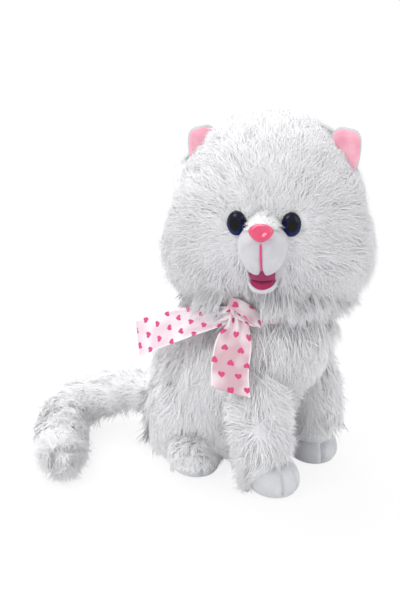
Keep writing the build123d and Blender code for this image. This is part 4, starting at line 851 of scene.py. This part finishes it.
# ------------------------------------------------------------------ tail
TAIL = [
    (-36.4, 37.1, 33, 0.02), (-36.8, 39.5, 33, 5), (-38.4, 48, 33, 9), (-43, 74, 33, 12.5),
    (-53, 94, 27, 13.5), (-74, 103, 21.5, 14), (-91, 97, 21.0, 14), (-106, 84, 21.0, 14),
    (-119, 62, 21.0, 14), (-127, 47, 20, 12), (-130.4, 40, 19, 7), (-131.6, 37.4, 19, 0.02),
]
tail_surface = tube_along(TAIL)
skin("tail_skin", tail_surface, same_place, "tail_group", ["tail"], 56, 110)
tail_line = rows_at(np.array(TAIL)[:, :3], np.linspace(0, 1, 90))


def near_tail_line(p):
    """Index of the nearest point of the tail's middle line."""
    flat = p.reshape(-1, 3)
    near = np.argmin(((flat[:, None] - tail_line[None]) ** 2).sum(-1), axis=1)
    return near.reshape(p.shape[:-1])


def tail_core(p):
    """Nearest point of the tail's middle line."""
    return tail_line[near_tail_line(p)]


tip_whorl = whorl((-131.0, 40.0, 24.0), 15.0, 2.0)


def tail_flow(p, n):
    """Along the tail towards its tip, parted round a whorl at the end."""
    x, y, _ = p.T
    near = near_tail_line(p)
    along = unit(tail_line[np.minimum(near + 2, len(tail_line) - 1)] - tail_line[np.maximum(near - 2, 0)])
    wander = np.stack([np.sin(y / 11), np.cos(x / 13), np.sin(x / 9 + y / 12)], -1)
    return along + 0.35 * wander + tip_whorl(p)


def tail_keep(p):
    """No pile on the stub inside the rump, more at the brush."""
    return np.where((p[:, 1] < 50) & (p[:, 0] > -60), 0.0, 1.0 + 0.8 * (p[:, 1] < 70) * (p[:, 0] < -100))


def tail_height(p):
    """The pile stands up at the tip and at the bend."""
    return 4.5 + 3 * bulge(p, (-130, 42, 20), 12) + 2 * bulge(p, (-106, 84, 21), 22)


grow("tail_fur", tail_surface, same_place, "tail_group", ["tail"], tufts=780, per_tuft=26, length=14.0,
     height=tail_height, width=0.34, gather=0.2, sway=0.3, core=tail_core, flow=tail_flow, seed=41,
     keep=tail_keep, droop=0.03, parts=2, roundness=0.14)


# ------------------------------------------------------------------ back flap
def flap_slab(u, v):
    """A stuffed slab: the body's own curve outside, a flat lining inside, rounded where they meet.

    u goes round the section in height, v goes across the width.
    """
    x = 2.0 + 24.3 * (2 * v - 1)
    edge = np.sqrt(np.clip(1 - (2 * v - 1) ** 8, 0, 1))
    outside = u < 0.5
    t = np.where(outside, 2 * u, 2 - 2 * u)
    z = 39.6 + 44.6 * t
    rows = np.array(TORSO, float)
    half, front, rear = (np.interp(z, rows[:11, 0], rows[:11, k]) for k in (1, 2, 3))
    back = (front + rear) / 2 + (rear - front) / 2 * np.sqrt(np.clip(1 - (x / half) ** 2, 0, 1))
    inner = 41.4 + 0 * x
    limit = 52.14 + np.sqrt(np.clip(44.8**2 - (85 - z) ** 2, 0, None))
    back = np.minimum(back + 0.6, limit)
    round_off = edge * np.clip(np.minimum(t, 1 - t) * 14, 0, 1) ** 0.5
    middle = (inner + back) / 2
    y = middle + np.where(outside, 1, -1) * (back - inner) / 2 * round_off
    return np.stack([x, y, z], -1)


skin("back_flap_skin", flap_slab, same_place, "flap_group", ["back_flap"], 96, 60)


def flap_outside(u, v):
    """The outer half of the slab, where its pile grows."""
    return flap_slab(np.asarray(u) * 0.49 + 0.005, v)


def from_hinge(paths):
    """Fibres that would strike the body above the hinge when the flap lifts."""
    return (paths[..., 2] > 86).any(axis=1)


grow("back_flap_fur", flap_outside, same_place, "flap_group", ["back_flap"], tufts=110, per_tuft=30,
     length=20.0, height=5.5, flow=downward, seed=51, drop=from_hinge, spread=4.5, roundness=0.8)


# ------------------------------------------------------------------ head
HEAD = [
    (143.5, 9, -9, 9), (141.6, 24, -22, 24), (141.3, 47, -37, 44), (145, 56, -41.5, 51),
    (152, 62.5, -44.5, 54), (161, 66, -47, 56), (170, 67, -48.8, 57), (179, 66, -49, 57),
    (188, 63.5, -49, 57), (198, 60, -48.3, 56.8), (208, 58.5, -47.2, 55.6), (218, 55, -44.5, 53),
    (228, 49.5, -40, 48.5), (238, 41, -33, 41), (246, 31, -24, 31), (251, 19, -13.5, 19),
    (252.6, 9, -5, 10), (252.9, 0, 2, 2.01),
]
head_surface = oval_stack(HEAD)
skin("head_skin", head_surface, head_to_row, "head_group", ["head"], 112, 90)
FACE = np.array([0.0, -58.0, 180.0])     # middle of the face, which the pile is combed away from


def head_core(p):
    """Middle of the head for the way its pile faces: a short upright line inside it."""
    return np.stack([0 * p[..., 0], 0 * p[..., 1] + 4, np.clip(p[..., 2], 172, 200)], -1)


def face_weight(p):
    """1 round the eyes and the muzzle, where the pile is short, falling to 0 over the cheeks and forehead."""
    away = np.hypot(p[:, 0] / 1.25, p[:, 2] - 184)
    return (1 - smooth_step(away, 17, 36)) * (p[:, 1] < 0)


def ear_weight(p):
    """1 in front of the ears' roots, where the pile is shorter, falling to 0 round them."""
    away = np.hypot(np.abs(p[:, 0]) - 46, (p[:, 2] - 226) * 0.8)
    return (1 - smooth_step(away, 9, 22)) * (p[:, 1] < 12)


def head_length(p):
    """26 mm low on the head and 20 mm above, down to 8 mm where the pile is short."""
    short = np.maximum(face_weight(p), 0.75 * ear_weight(p))
    low = 1 - smooth_step(p[:, 2], 158, 185)
    return (20.0 + 6.0 * low) * (1 - short) + 8.0 * short


def head_height(p):
    """8 mm low on the head and 5 mm above, down to 2.6 mm where the pile is short."""
    short = np.maximum(face_weight(p), ear_weight(p))
    low = 1 - smooth_step(p[:, 2], 158, 185)
    return (5.0 + 3.0 * low) * (1 - short) + 2.6 * short


def head_flow(p, n):
    """Away from the middle of the face: up over the forehead, out and down over the cheeks, down the back."""
    away = p - FACE
    away[:, 1] *= 0.6
    away = unit(away)
    fall = smooth_step(p[:, 1], -20, 25)[:, None]
    cheek = (1 - smooth_step(p[:, 2], 165, 200))[:, None]
    wander = np.stack([np.sin(p[:, 2] / 13), 0 * p[:, 0], np.cos(p[:, 0] / 17)], -1)
    return away * (1 - fall) + np.array([0, 0, -1.0]) * (fall + 0.5 * cheek) + 0.22 * wander


def snout_half(z):
    """Half width of the bare snout at a height: widest above the mouth, narrow beside the nose."""
    return 13.5 - 7.0 * smooth_step(z, 184, 199) - 3.5 * (1 - smooth_step(z, 163, 172))


def head_keep(p):
    """No pile under the head, where the neck goes in, nor under the eyes, muzzle and mouth."""
    under = (p[:, 2] < 143) & (np.hypot(p[:, 0], p[:, 1]) < 44)
    eye = np.zeros(len(p), bool)
    for centre in EYE_AT:
        eye |= (np.hypot(p[:, 0] - centre[0], p[:, 2] - centre[2]) < 6.5) & (p[:, 1] < 0)
    snout = (np.abs(p[:, 0]) < snout_half(p[:, 2])) & (p[:, 2] > 163) & (p[:, 2] < 199) & (p[:, 1] < -30)
    mouth = (np.abs(p[:, 0]) < 9) & (p[:, 2] > 150) & (p[:, 2] < 170) & (p[:, 1] < -30)
    return np.where(under | eye | snout | mouth, 0.0, 1.0 + 0.9 * face_weight(p))


def covers_face(paths):
    """Fibres that would cross an eye, the muzzle or the mouth."""
    x, y, z = paths[..., 0], paths[..., 1], paths[..., 2]
    front = y < -38
    hit = np.zeros(x.shape, bool)
    for centre in EYE_AT:
        hit |= front & (np.hypot(x - centre[0], (z - centre[2]) * 0.85) < EYE_CLEAR)
    hit |= front & (np.abs(x) < snout_half(z) + 0.5) & (z > 163) & (z < 200)
    hit |= front & (np.hypot(x, (z - MOUTH_Z) * 0.95) < MOUTH_CLEAR)
    hit |= (np.abs(x) > 44) & (z > 234) & (y > -16) & (y < 3)
    return hit.any(axis=1)


grow("head_fur", head_surface, head_to_row, "head_group", ["head"], tufts=2700, per_tuft=21,
     length=head_length, height=head_height, flow=head_flow, seed=61, keep=head_keep, drop=covers_face,
     droop=0.10, parts=4, spread=5.0, width=0.33, gather=0.3, sway=0.16, core=head_core)


def fringe_keep(p):
    """The lower edge of the head, outside the neck's ribbon."""
    reach = np.hypot(p[:, 0], p[:, 1])
    return np.where((p[:, 2] < 150) & (reach > 40.5), 1.0, 0.0)


def fringe_flow(p, n):
    """Down, and a little away from the neck."""
    return np.stack([0.2 * p[:, 0], 0.2 * p[:, 1], 0 * p[:, 0] - 14.0], -1)


BOW_IN_HEAD = np.array([-13.84, -42.61, 132.0])     # the knot, in the head's own frame at rest


def clears_bow(paths):
    """Fibres that would cover the bow or rub on the ribbon round the neck."""
    bow = BOW_IN_HEAD + np.array([[-9, -4, 5], [-2, -7, 3], [6, -10, -2], [-7, -6, -8], [-7, -7, -16]])
    hit = np.zeros(paths.shape[:-1], bool)
    for centre in bow:
        hit |= np.linalg.norm((paths - centre) * np.array([1, 0.45, 1]), axis=-1) < 6.5
    hit |= (np.hypot(paths[..., 0], paths[..., 1]) < 39.6) & (paths[..., 2] < 139)
    return hit.any(axis=1)


grow("head_fringe", head_surface, head_to_row, "head_group", ["head"], tufts=330, per_tuft=28, length=16.0,
     height=6.5, flow=fringe_flow, seed=67, keep=fringe_keep, drop=clears_bow, droop=0.25, spread=4.0,
     core=head_core)


def throat_keep(p):
    """A ring under the head just outside the neck's ribbon."""
    reach = np.hypot(p[:, 0], p[:, 1])
    return np.where((p[:, 2] < 148) & (reach > 38.5) & (reach < 50) & (p[:, 1] < 4), 1.0, 0.0)


grow("throat_fringe", head_surface, head_to_row, "head_group", ["head"], tufts=210, per_tuft=28, length=8.0,
     height=21.0, flow=fringe_flow, seed=69, keep=throat_keep, drop=clears_bow, droop=0.1, spread=3.0)


def below_chin(paths):
    """Fibres under the chin that would reach too low, into the jaw's swing, or onto the bow."""
    x, y, z = paths[..., 0], paths[..., 1], paths[..., 2]
    jaw_room = (np.abs(x) < 10) & (y < -45.5) & (z > 142)
    return ((z < 128) | (y < -58) | jaw_room).any(axis=1) | clears_bow(paths)


grow("chin_fringe", head_surface, head_to_row, "head_group", ["head"], tufts=170, per_tuft=28, length=12.0,
     height=8.0, flow=fringe_flow, seed=68, drop=below_chin, droop=0.3, spread=3.0, width=0.34,
     core=head_core,
     keep=lambda p: np.where((np.abs(p[:, 0]) < 19) & (p[:, 1] < -30) & (p[:, 2] < 152.5), 1.0, 0.0))


# ------------------------------------------------------------------ muzzle, nose, eyes
def muzzle_surface(u, v):
    """Snout: upright ovals x = half sin a, z = middle - tall cos a that shrink towards the nose.

    Low on the snout a groove exp(-(x / 1.6)^2) runs down the middle, and two lips exp(-((|x| - 7) / 5)^2)
    stand forward beside it.
    """
    rows = [
        # forward, half width, middle z, half height
        (42, 0.02, 181, 0.02), (42, 12, 181, 14), (46, 15.6, 181, 18.6), (53, 16.0, 181.5, 18.2),
        (60, 15.4, 181.5, 17.2), (66, 13.8, 182.0, 15.4), (71, 10.6, 183.5, 12.2), (74.5, 6.2, 186.5, 8.0),
        (75.8, 0.02, 189, 0.02),
    ]
    forward, half, middle, tall = np.moveaxis(rows_at(rows, v), -1, 0)
    a = 2 * np.pi * np.asarray(u)
    x, z = half * np.sin(a), middle - tall * np.cos(a)
    x = x * (1 - 0.42 * smooth_step(z, 184, 201))
    low = smooth_step(-z, -186, -168)
    groove = np.exp(-(x / 1.6) ** 2)
    forward = forward - 2.0 * low * groove * smooth_step(forward, 52, 64)
    fullness = np.exp(-((np.abs(x) - 7.0) / 5.0) ** 2) * low
    forward = forward + 1.6 * fullness * smooth_step(forward, 50, 62)
    z = z + 2.0 * groove * smooth_step(-z, -172, -166) * smooth_step(forward, 48, 58)
    z = z - 1.8 * smooth_step(-z, -176, -164)
    return np.stack([x, -forward, z], -1)


closed_piece("muzzle_skin", muzzle_surface, (112, 72), MUZZLE_PILE, nodes=["muzzle"])


def bridge_keep(p):
    """The top of the snout, from the nose back to the face."""
    return np.where((p[:, 2] > 195.5) & (p[:, 1] > -72) & (np.abs(p[:, 0]) < 9), 1.0, 0.0)


def bridge_flow(p, n):
    """Away from the nose: back over the bridge and out to both sides."""
    return np.stack([0.16 * p[:, 0], 1 + 0 * p[:, 0], 0.5 + 0 * p[:, 0]], -1)


grow("bridge_fur", muzzle_surface, head_to_row, "head_group", ["muzzle"], tufts=90, per_tuft=26, length=9.0,
     height=2.6, flow=bridge_flow, seed=71, keep=bridge_keep, spread=2.6, width=0.3, curl=0.8, droop=0.0)
line = muzzle_surface(np.zeros(20), np.linspace(0.50, 0.985, 20))
line[:, 1] -= 0.25
thread("muzzle_centre_stitch", head_to_row(line), 0.75, PINK_THREAD, "head_group")


def nose_surface(u, v):
    """Rounded triangle x = 7.9 |cos a|^0.86 s, z = 6.1 sin a s, narrower below; s goes 0, 1, 0 with v.

    It is domed by sqrt(1 - s^3.2), dished in the middle of its back, and tilted 18 degrees to look up.
    """
    a = 2 * np.pi * np.asarray(u)
    s = np.sin(np.clip(v, 0, 1) * np.pi)
    side = np.where(np.asarray(v) < 0.5, -1.0, 1.0)
    below = np.clip(-np.sin(a), 0, 1)
    x = 7.9 * np.sign(np.cos(a)) * np.abs(np.cos(a)) ** 0.86 * s * (1 - 0.20 * below)
    z = (6.1 - 0.9 * (1 - below)) * np.sin(a) * s
    dome = np.sqrt(np.clip(1 - s**3.2, 0, 1)) - np.where(side > 0, 0.34 * np.exp(-(s / 0.5) ** 4), 0)
    y = -side * dome * np.where(side > 0, 4.0, 2.5)
    level, rising = math.cos(NOSE_TILT), math.sin(NOSE_TILT)
    back, up = y * level + z * rising, z * level - y * rising
    return np.stack([x, back - 74.6, up + 195.0], -1)


closed_piece("nose_vinyl", nose_surface, (96, 61), NOSE, nodes=["nose"])

# an eye is a dome: radius R sin t and depth D (1 - cos t) for v up to EYE_RIM, then a straight rim
EYE_RIM = 0.8
u, v = grid(64, 40)
a = 2 * np.pi * u
turn = 0.5 * np.pi * v / EYE_RIM
spread = np.where(v < EYE_RIM, np.sin(turn), 1.0)
deep = np.where(v < EYE_RIM, EYE_DOME * (1 - np.cos(turn)), EYE_DOME + (v - EYE_RIM) * 12)
for name, centre in zip(("eye_right", "eye_left"), EYE_AT):
    outward = np.sign(centre[0]) * EYE_TURN
    x, y, z = EYE_RADIUS * spread * np.sin(a) * 0.9, deep, EYE_RADIUS * spread * np.cos(a) * 1.14
    x, y = x * math.cos(outward) - y * math.sin(outward), x * math.sin(outward) + y * math.cos(outward)
    points = np.stack([x + centre[0], y + centre[1] + 1.2, z + centre[2]], -1)
    eye = piece(name, head_to_row(points), closed_faces(64, 40), EYE, "head_group",
                clean=False, nodes=["eyes"])
    low = 0.5 - 0.5 * np.cos(a) * spread
    spot = eye.data.attributes.new("eye_spot", "FLOAT_VECTOR", "POINT")
    values = np.stack([spread, np.clip(low * 1.5 - 0.3, 0, 1), a / (2 * np.pi)], -1)
    spot.data.foreach_set("vector", values.astype(np.float32).ravel())
    tidy(eye.data)


# ------------------------------------------------------------------ mouth
CHIN = [
    (151.0, 0, -57, -56.99), (151.1, 4.5, -61.5, -50), (152.4, 7.6, -64.2, -47.6), (154.6, 9.0, -65.6, -47),
    (156.8, 9.2, -65.8, -47.2), (157.8, 8.6, -65.0, -47.6), (157.2, 7.9, -64.2, -48),
    (155.6, 7.4, -63.4, -48.4), (155.2, 0, -56, -55.99),
]
TONGUE = [
    (155.6, 0, -56, -55.99), (155.7, 6.6, -62.8, -48.6), (156.6, 7.9, -64.2, -48.2),
    (157.8, 7.8, -64.0, -48.4), (159.2, 6.6, -62.4, -49.0), (160.0, 4.0, -59.5, -50), (160.2, 0, -56, -55.99),
]
CHIN_FLOOR = CHIN[0][0]


def chin_surface(u, v):
    """A hollow oval stack, half as high in the middle of its front as at its sides and rear."""
    points = oval_stack(CHIN)(u, v)
    x, y = points[..., 0], points[..., 1]
    rise = 0.5 + 0.5 * np.clip((x / 8.6) ** 2 + smooth_step(y, -61, -53), 0, 1)
    points[..., 2] = CHIN_FLOOR + (points[..., 2] - CHIN_FLOOR) * rise
    return points


def tongue_surface(u, v):
    """An oval stack that curls down towards its front, with a groove exp(-(x / 1.5)^2) along the middle."""
    points = oval_stack(TONGUE)(u, v)
    x, y = points[..., 0], points[..., 1]
    points[..., 2] -= 3.3 * smooth_step(-y, 55, 64) * np.clip(1 - (x / 9) ** 2, 0, 1)
    points[..., 2] -= 0.5 * np.exp(-(x / 1.5) ** 2) * (points[..., 2] > 155)
    return points


closed_piece("chin_skin", chin_surface, (72, 48), MUZZLE_PILE, body="jaw_group",
             nodes=["chin"])
closed_piece("tongue_felt", tongue_surface, (72, 48), TONGUE_FELT, body="jaw_group",
             nodes=["tongue"])


def mouth_surface(u, v):
    """Felt lining: a lens under the lips, then a level roof going back, then the throat down behind the chin.

    The lens's upper edge is z = 169.5 - 5 x^2 and its lower edge z = 159.9 + 0.6 x^2, with x from -1 to 1.
    """
    across = 2 * u - 1
    x = 8.4 * across * (1 - 0.12 * smooth_step(v, 0, 0.35))
    down = np.minimum(v / 0.35, 1)
    back = np.clip((v - 0.35) / 0.4, 0, 1)
    drop = np.clip((v - 0.75) / 0.25, 0, 1)
    y = -65.6 + 2.8 * across**2 * (1 - back) + 3.6 * down + 14.7 * back + 1.2 * drop
    z = 169.5 - 5.0 * across**2 - (9.6 - 5.6 * across**2) * down**0.9 - 9.0 * drop
    return np.stack([x, y, z], -1)


u, v = np.meshgrid(np.linspace(0, 1, 40), np.linspace(0, 1, 61), indexing="ij")
lining = piece("mouth_lining_felt", head_to_row(mouth_surface(u, v)), open_faces(40, 61), MOUTH_FELT,
               "head_group", nodes=["mouth_lining"])
thicken(lining, FELT_THICK)


# ------------------------------------------------------------------ ears
def ear_outline(a, half, height):
    """Blunt arch: superellipse |x/half|^3.6 + |z/height|^3.6 = 1 above the base, tucked in below."""
    c, s = np.cos(a), np.sin(a)
    r = (np.abs(c) ** 3.6 + np.abs(s) ** 3.6) ** (-1 / 3.6)
    x = half * r * c
    z = height * (0.5 + 0.5 * r * s)
    return x * (1 - 0.16 * smooth_step(z, 0.3 * height, height)), z


def ear_form(side, half, height, front, rear, cup):
    """A cupped pad: its outline, scaled by s = sin(pi v), swells by sqrt(1 - s^6) to the front and the rear.

    It is cupped by cup (1 - (x / half)^2) and leans out by 12 degrees.
    """
    def surface(u, v):
        a = 2 * np.pi * np.asarray(u)
        s = np.sin(np.pi * np.asarray(v))
        x, z = ear_outline(a, half, height)
        x, z = x * s, height / 2 + (z - height / 2) * s
        toward = np.where(np.asarray(v) < 0.5, front, rear)
        y = toward * np.sqrt(np.clip(1 - s**6, 0, 1)) + cup * (1 - (x / half) ** 2)
        lean = side * EAR_LEAN
        x, z = x * math.cos(lean) + z * math.sin(lean), -x * math.sin(lean) + z * math.cos(lean)
        return np.stack([x + side * 44 + (4.5 if side < 0 else 2), y - 1, z + 216], -1)
    return surface


for side, name in ((-1, "right"), (1, "left")):
    closed_piece(f"ear_{name}_pile", ear_form(side, 12.0, 31.0, -1.6, 1.8, 2.2), (80, 40), SHORT_PILE,
                 nodes=[f"ear_{name}"])
    closed_piece(f"ear_{name}_lining", ear_form(side, 11.2, 30.0, -2.8, -1.0, 2.2), (80, 40), PINK_PILE,
                 nodes=["ear_linings"])


# ------------------------------------------------------------------ ribbon
def printed(made, flat):
    """Lays the print on a piece: flat holds each vertex's place on the flat ribbon, in millimetres."""
    index = np.zeros(len(made.data.loops), dtype=np.int32)
    made.data.loops.foreach_get("vertex_index", index)
    layer = made.data.uv_layers.new(name="ribbon")
    layer.data.foreach_set("uv", flat.reshape(-1, 2)[index].astype(np.float32).ravel())


def lay_ribbon(name, across, route, half, fold, node, slant=0.0, ripple=1.0, doubled=False,
               finish=SATIN):
    """A satin strip: each line across it is centred on the route; near the knot it is pleated.

    A point is route(v) + w across + pleat normal, where w is its distance from the middle and the pleats
    are fold cos(2.5 pi u). A doubled strip is folded along its middle: w is -half cos(pi u) and the two
    layers stand 1.2 sin(pi u / 2) apart. A strip's end is cut with one side shorter by the share slant.
    """
    lines, steps = 36, 70
    u, v = np.meshgrid(np.linspace(-1, 1, lines), np.linspace(0, 1, steps), indexing="ij")
    short = abs(slant) * (1 - np.sign(slant) * u) / 2 * smooth_step(v, 0.3, 1.0)
    reach = v * (1 - short)
    centre = rows_at(route, reach)
    ahead = unit(rows_at(route, reach + 0.01) - rows_at(route, reach - 0.01))
    across = np.broadcast_to(np.asarray(across, float), ahead.shape)
    wide = unit(across - ahead * np.sum(ahead * across, -1, keepdims=True))
    out = np.cross(ahead, wide)
    half_here = rows_at(np.asarray(half)[:, None], v)[..., 0]
    w = half_here * (-np.cos(np.pi * u) if doubled else u)
    pleat = rows_at(np.asarray(fold)[:, None], v)[..., 0] * np.cos(u * np.pi * 2.5)
    if doubled:
        pleat = pleat + 1.2 * np.sin(np.pi * u / 2)
    wave = ripple * 0.5 * np.sin(v * 9 + u * 1.3) * smooth_step(v, 0.15, 0.5)
    points = centre + wide * w[..., None] + out * (pleat + wave)[..., None]
    made = piece(name, points, open_faces(lines, steps), finish, "body", clean=False,
                 nodes=[node])
    middle = rows_at(route, v[0])
    travelled = np.append(0, np.cumsum(np.linalg.norm(np.diff(middle, axis=0), axis=1)))
    printed(made, np.stack([u * RIBBON_WIDTH / 2, travelled[None] * (1 - short)], -1))
    thicken(made, RIBBON_THICK)


# each strip: the way across it, its route, then along the route its half width and its pleats' depth
hanging = BOW_AT + np.array([
    (-6.5, -0.5, 0), (-7.0, -3.0, -8.5), (-11.5, -4.5, -19), (-16.5, -6.5, -36), (-17.5, -9.0, -55)])
trailing = BOW_AT + np.array([
    (-4.0, 1.0, 0), (-12.0, 9.0, -3.5), (-22.0, 27.0, -10), (-31.0, 48.0, -20), (-38.5, 69.0, -31)])
# the hanging tail's darker satin is painted shade
lay_ribbon("ribbon_hanging_tail", (0.77, -0.64, 0.0), hanging, (4.2, 7.6, 11.8, 12.4, 12.4),
           (1.7, 1.6, 0.6, 0.15, 0.0), "ribbon_tail_hanging", slant=0.14,
           finish=SATIN_SHADED)
lay_ribbon("ribbon_trailing_tail", (0.34, -0.31, 0.89), trailing, (4.0, 6.5, 9.5, 11.3, 12.3),
           (1.7, 1.4, 0.6, 0.15, 0.0), "ribbon_tail_trailing", slant=-0.05)


def knot_surface(u, v):
    """The tied knot: a bun of radius 5.8 + 0.6 cos(5 a + 2 sin b), so that five folds run over it."""
    a, b = 2 * np.pi * np.asarray(u), np.pi * np.asarray(v)
    r = 5.8 + 0.6 * np.cos(5 * a + 2 * np.sin(b))
    x, y, z = r * np.sin(b) * np.cos(a), r * 0.85 * np.sin(b) * np.sin(a), r * 0.95 * np.cos(b)
    return np.stack([x, y, z], -1) + BOW_AT + np.array([-3.0, 1.6, 1.0])


# the knot's darker satin is painted shade
knot = closed_piece("ribbon_knot_satin", knot_surface, (72, 40), SATIN_SHADED, same_place,
                    "body", ["ribbon_knot"])
coordinates = np.zeros(len(knot.data.vertices) * 3, np.float32)
knot.data.vertices.foreach_get("co", coordinates)
printed(knot, (coordinates.reshape(-1, 3) / MM - BOW_AT)[:, [0, 2]])

loop_route = BOW_AT + np.array([
    (-11.3, 0.5, 7.7), (-8.7, -3.5, 6.8), (-4.5, -8.6, 3.1), (-0.6, -13.1, -1.4), (2.6, -15.2, -5.2),
    (0.6, -10.6, -4.5), (-4.0, -4.9, -0.5), (-8.7, -2.4, 3.0)])
# the loop's darker satin is painted shade
lay_ribbon("ribbon_bow_loop", (0.83, 0.49, 0.23), loop_route, (4.4, 5.4, 6.0, 5.4, 3.6, 5.0, 5.2, 4.2),
           (0.3, 0.2, 0.1, 0.1, 0.1, 0.3, 0.5, 0.6), "ribbon_loop", ripple=0.3,
           doubled=True, finish=SATIN_SHADED)

# the neck's ribbon: a ring of radius R + 0.5 cos(2.5 pi v), so that its width is gathered into small waves
u, v = np.meshgrid(np.linspace(0, 1, 181), np.linspace(-1, 1, 24), indexing="ij")
a = 2 * np.pi * u
radius = BAND_RADIUS + 0.5 * np.cos(v * np.pi * 2.5 + 0.4 * np.sin(3 * a))
height = 127.5 + 6.3 * v + 0.5 * np.sin(2 * a)
points = np.stack([radius * np.cos(a), NECK_Y + radius * np.sin(a), height], -1)
band = piece("ribbon_neck_band", points, open_faces(181, 24), SATIN, "body", clean=False,
             nodes=["ribbon_band"])
printed(band, np.stack([v * RIBBON_WIDTH / 2, u * BAND_GIRTH], -1))
thicken(band, RIBBON_THICK)


# ------------------------------------------------------------------ floor, light and camera
def background_rays(tree):
    """1 for rays that see the white background itself: the camera's, and those in gloss or clear plastic."""
    path = add(tree, "ShaderNodeLightPath")
    seen = path.outputs["Is Camera Ray"]
    for kind in ("Is Glossy Ray", "Is Transmission Ray"):
        both = add(tree, "ShaderNodeMath", {"operation": "MAXIMUM"}, i0=seen, i1=path.outputs[kind])
        seen = both.outputs[0]
    return seen


def stage_material():
    """A white floor: diffuse paper white that the camera sees a little lifted, so only soft shade shows."""
    made, tree, shader, place = material("white_floor", {"Base Color": linear("f4f4f5"), "Roughness": 0.9,
                                                         "Specular IOR Level": 0.1})
    seen = background_rays(tree)
    glow = add(tree, "ShaderNodeEmission", {"Color": linear("ffffff"), "Strength": 1.0})
    far = add(tree, "ShaderNodeVectorMath", {"operation": "LENGTH"}, i0=place).outputs["Value"]
    lifted = add(tree, "ShaderNodeMapRange", {"From Min": 0.3, "From Max": 1.2, "To Min": 0.86}, Value=far)
    sees = add(tree, "ShaderNodeMath", {"operation": "MULTIPLY"}, i0=seen, i1=lifted.outputs[0])
    mix = add(tree, "ShaderNodeMixShader", None, i0=sees.outputs[0], i1=shader.outputs[0], i2=glow.outputs[0])
    link(tree, tree.nodes["Material Output"], Surface=mix.outputs[0])
    return made


FLOOR_REACH = 4000.0      # millimetres from the middle to each edge
corners = FLOOR_REACH * np.array([(-1, -1, 0), (1, -1, 0), (1, 1, 0), (-1, 1, 0)])
floor_mesh = fill_mesh("floor", corners, np.array([[0, 1, 2, 3]]))
floor = in_scene("floor", floor_mesh)
floor_mesh.materials.append(stage_material())

world = bpy.data.worlds.new("studio")
bpy.context.scene.world = world
world.use_nodes = True
tree = world.node_tree
tree.nodes.clear()
seen = background_rays(tree)
soft = add(tree, "ShaderNodeBackground", {"Color": linear("f6f6f8"), "Strength": 0.82})
white = add(tree, "ShaderNodeBackground", {"Color": linear("ffffff"), "Strength": 1.0})
both = add(tree, "ShaderNodeMixShader", None, i0=seen, i1=soft.outputs[0], i2=white.outputs[0])
add(tree, "ShaderNodeOutputWorld", None, Surface=both.outputs[0])


def soft_box(name, at, target, size, watts, spread=180.0):
    """A square studio lamp aimed at a point (metres); a grid in front of it narrows its spread."""
    lamp = bpy.data.lights.new(name, "AREA")
    lamp.shape = "SQUARE"
    lamp.size = size
    lamp.energy = watts
    lamp.spread = math.radians(spread)
    made = in_scene(name, lamp)
    made.location = at
    made.rotation_euler = (Vector(target) - Vector(at)).to_track_quat("-Z", "Y").to_euler()
    made.visible_camera = False


# name, place and aim in metres, size in metres, power in watts, spread in degrees
soft_box("key_lamp", (-1.05, -0.12, 1.2), (-0.02, -0.02, 0.13), 0.7, 7.5)
soft_box("tail_lamp", (-0.40, -0.22, 0.25), (-0.12, 0.07, 0.02), 0.1, 0.020, 28.0)
soft_box("fill_lamp", (0.45, -1.0, 0.6), (0.0, 0.0, 0.12), 0.8, 2.4)
soft_box("top_lamp", (0.1, 0.5, 1.2), (0.0, 0.0, 0.15), 0.8, 7.5)

AZIMUTH, ELEVATION, DISTANCE = math.radians(40), math.radians(18), 0.75
AIM = Vector((0, 0, 0.14))
SENSOR = 36.0             # millimetres along the frame's longer side
FRAME_HEIGHT = 600        # render pixels along it
PIXEL_SIZE = 0.71         # millimetres of the cat that one pixel covers at the camera's aim
SHIFT = (-44.1, -29.6)    # pixels
back = Vector((-math.sin(AZIMUTH) * math.cos(ELEVATION), -math.cos(AZIMUTH) * math.cos(ELEVATION),
               math.sin(ELEVATION)))
camera_data = bpy.data.cameras.new("camera")
camera_data.sensor_width = SENSOR
camera_data.lens = SENSOR * (DISTANCE * 1000 / PIXEL_SIZE) / FRAME_HEIGHT
camera_data.shift_x = SHIFT[0] / FRAME_HEIGHT
camera_data.shift_y = SHIFT[1] / FRAME_HEIGHT
camera_data.clip_start = 0.01
camera = in_scene("camera", camera_data)
camera.location = AIM + back * DISTANCE
camera.rotation_euler = back.to_track_quat("Z", "Y").to_euler()
bpy.context.scene.camera = camera
bpy.context.scene.view_settings.view_transform = "Standard"
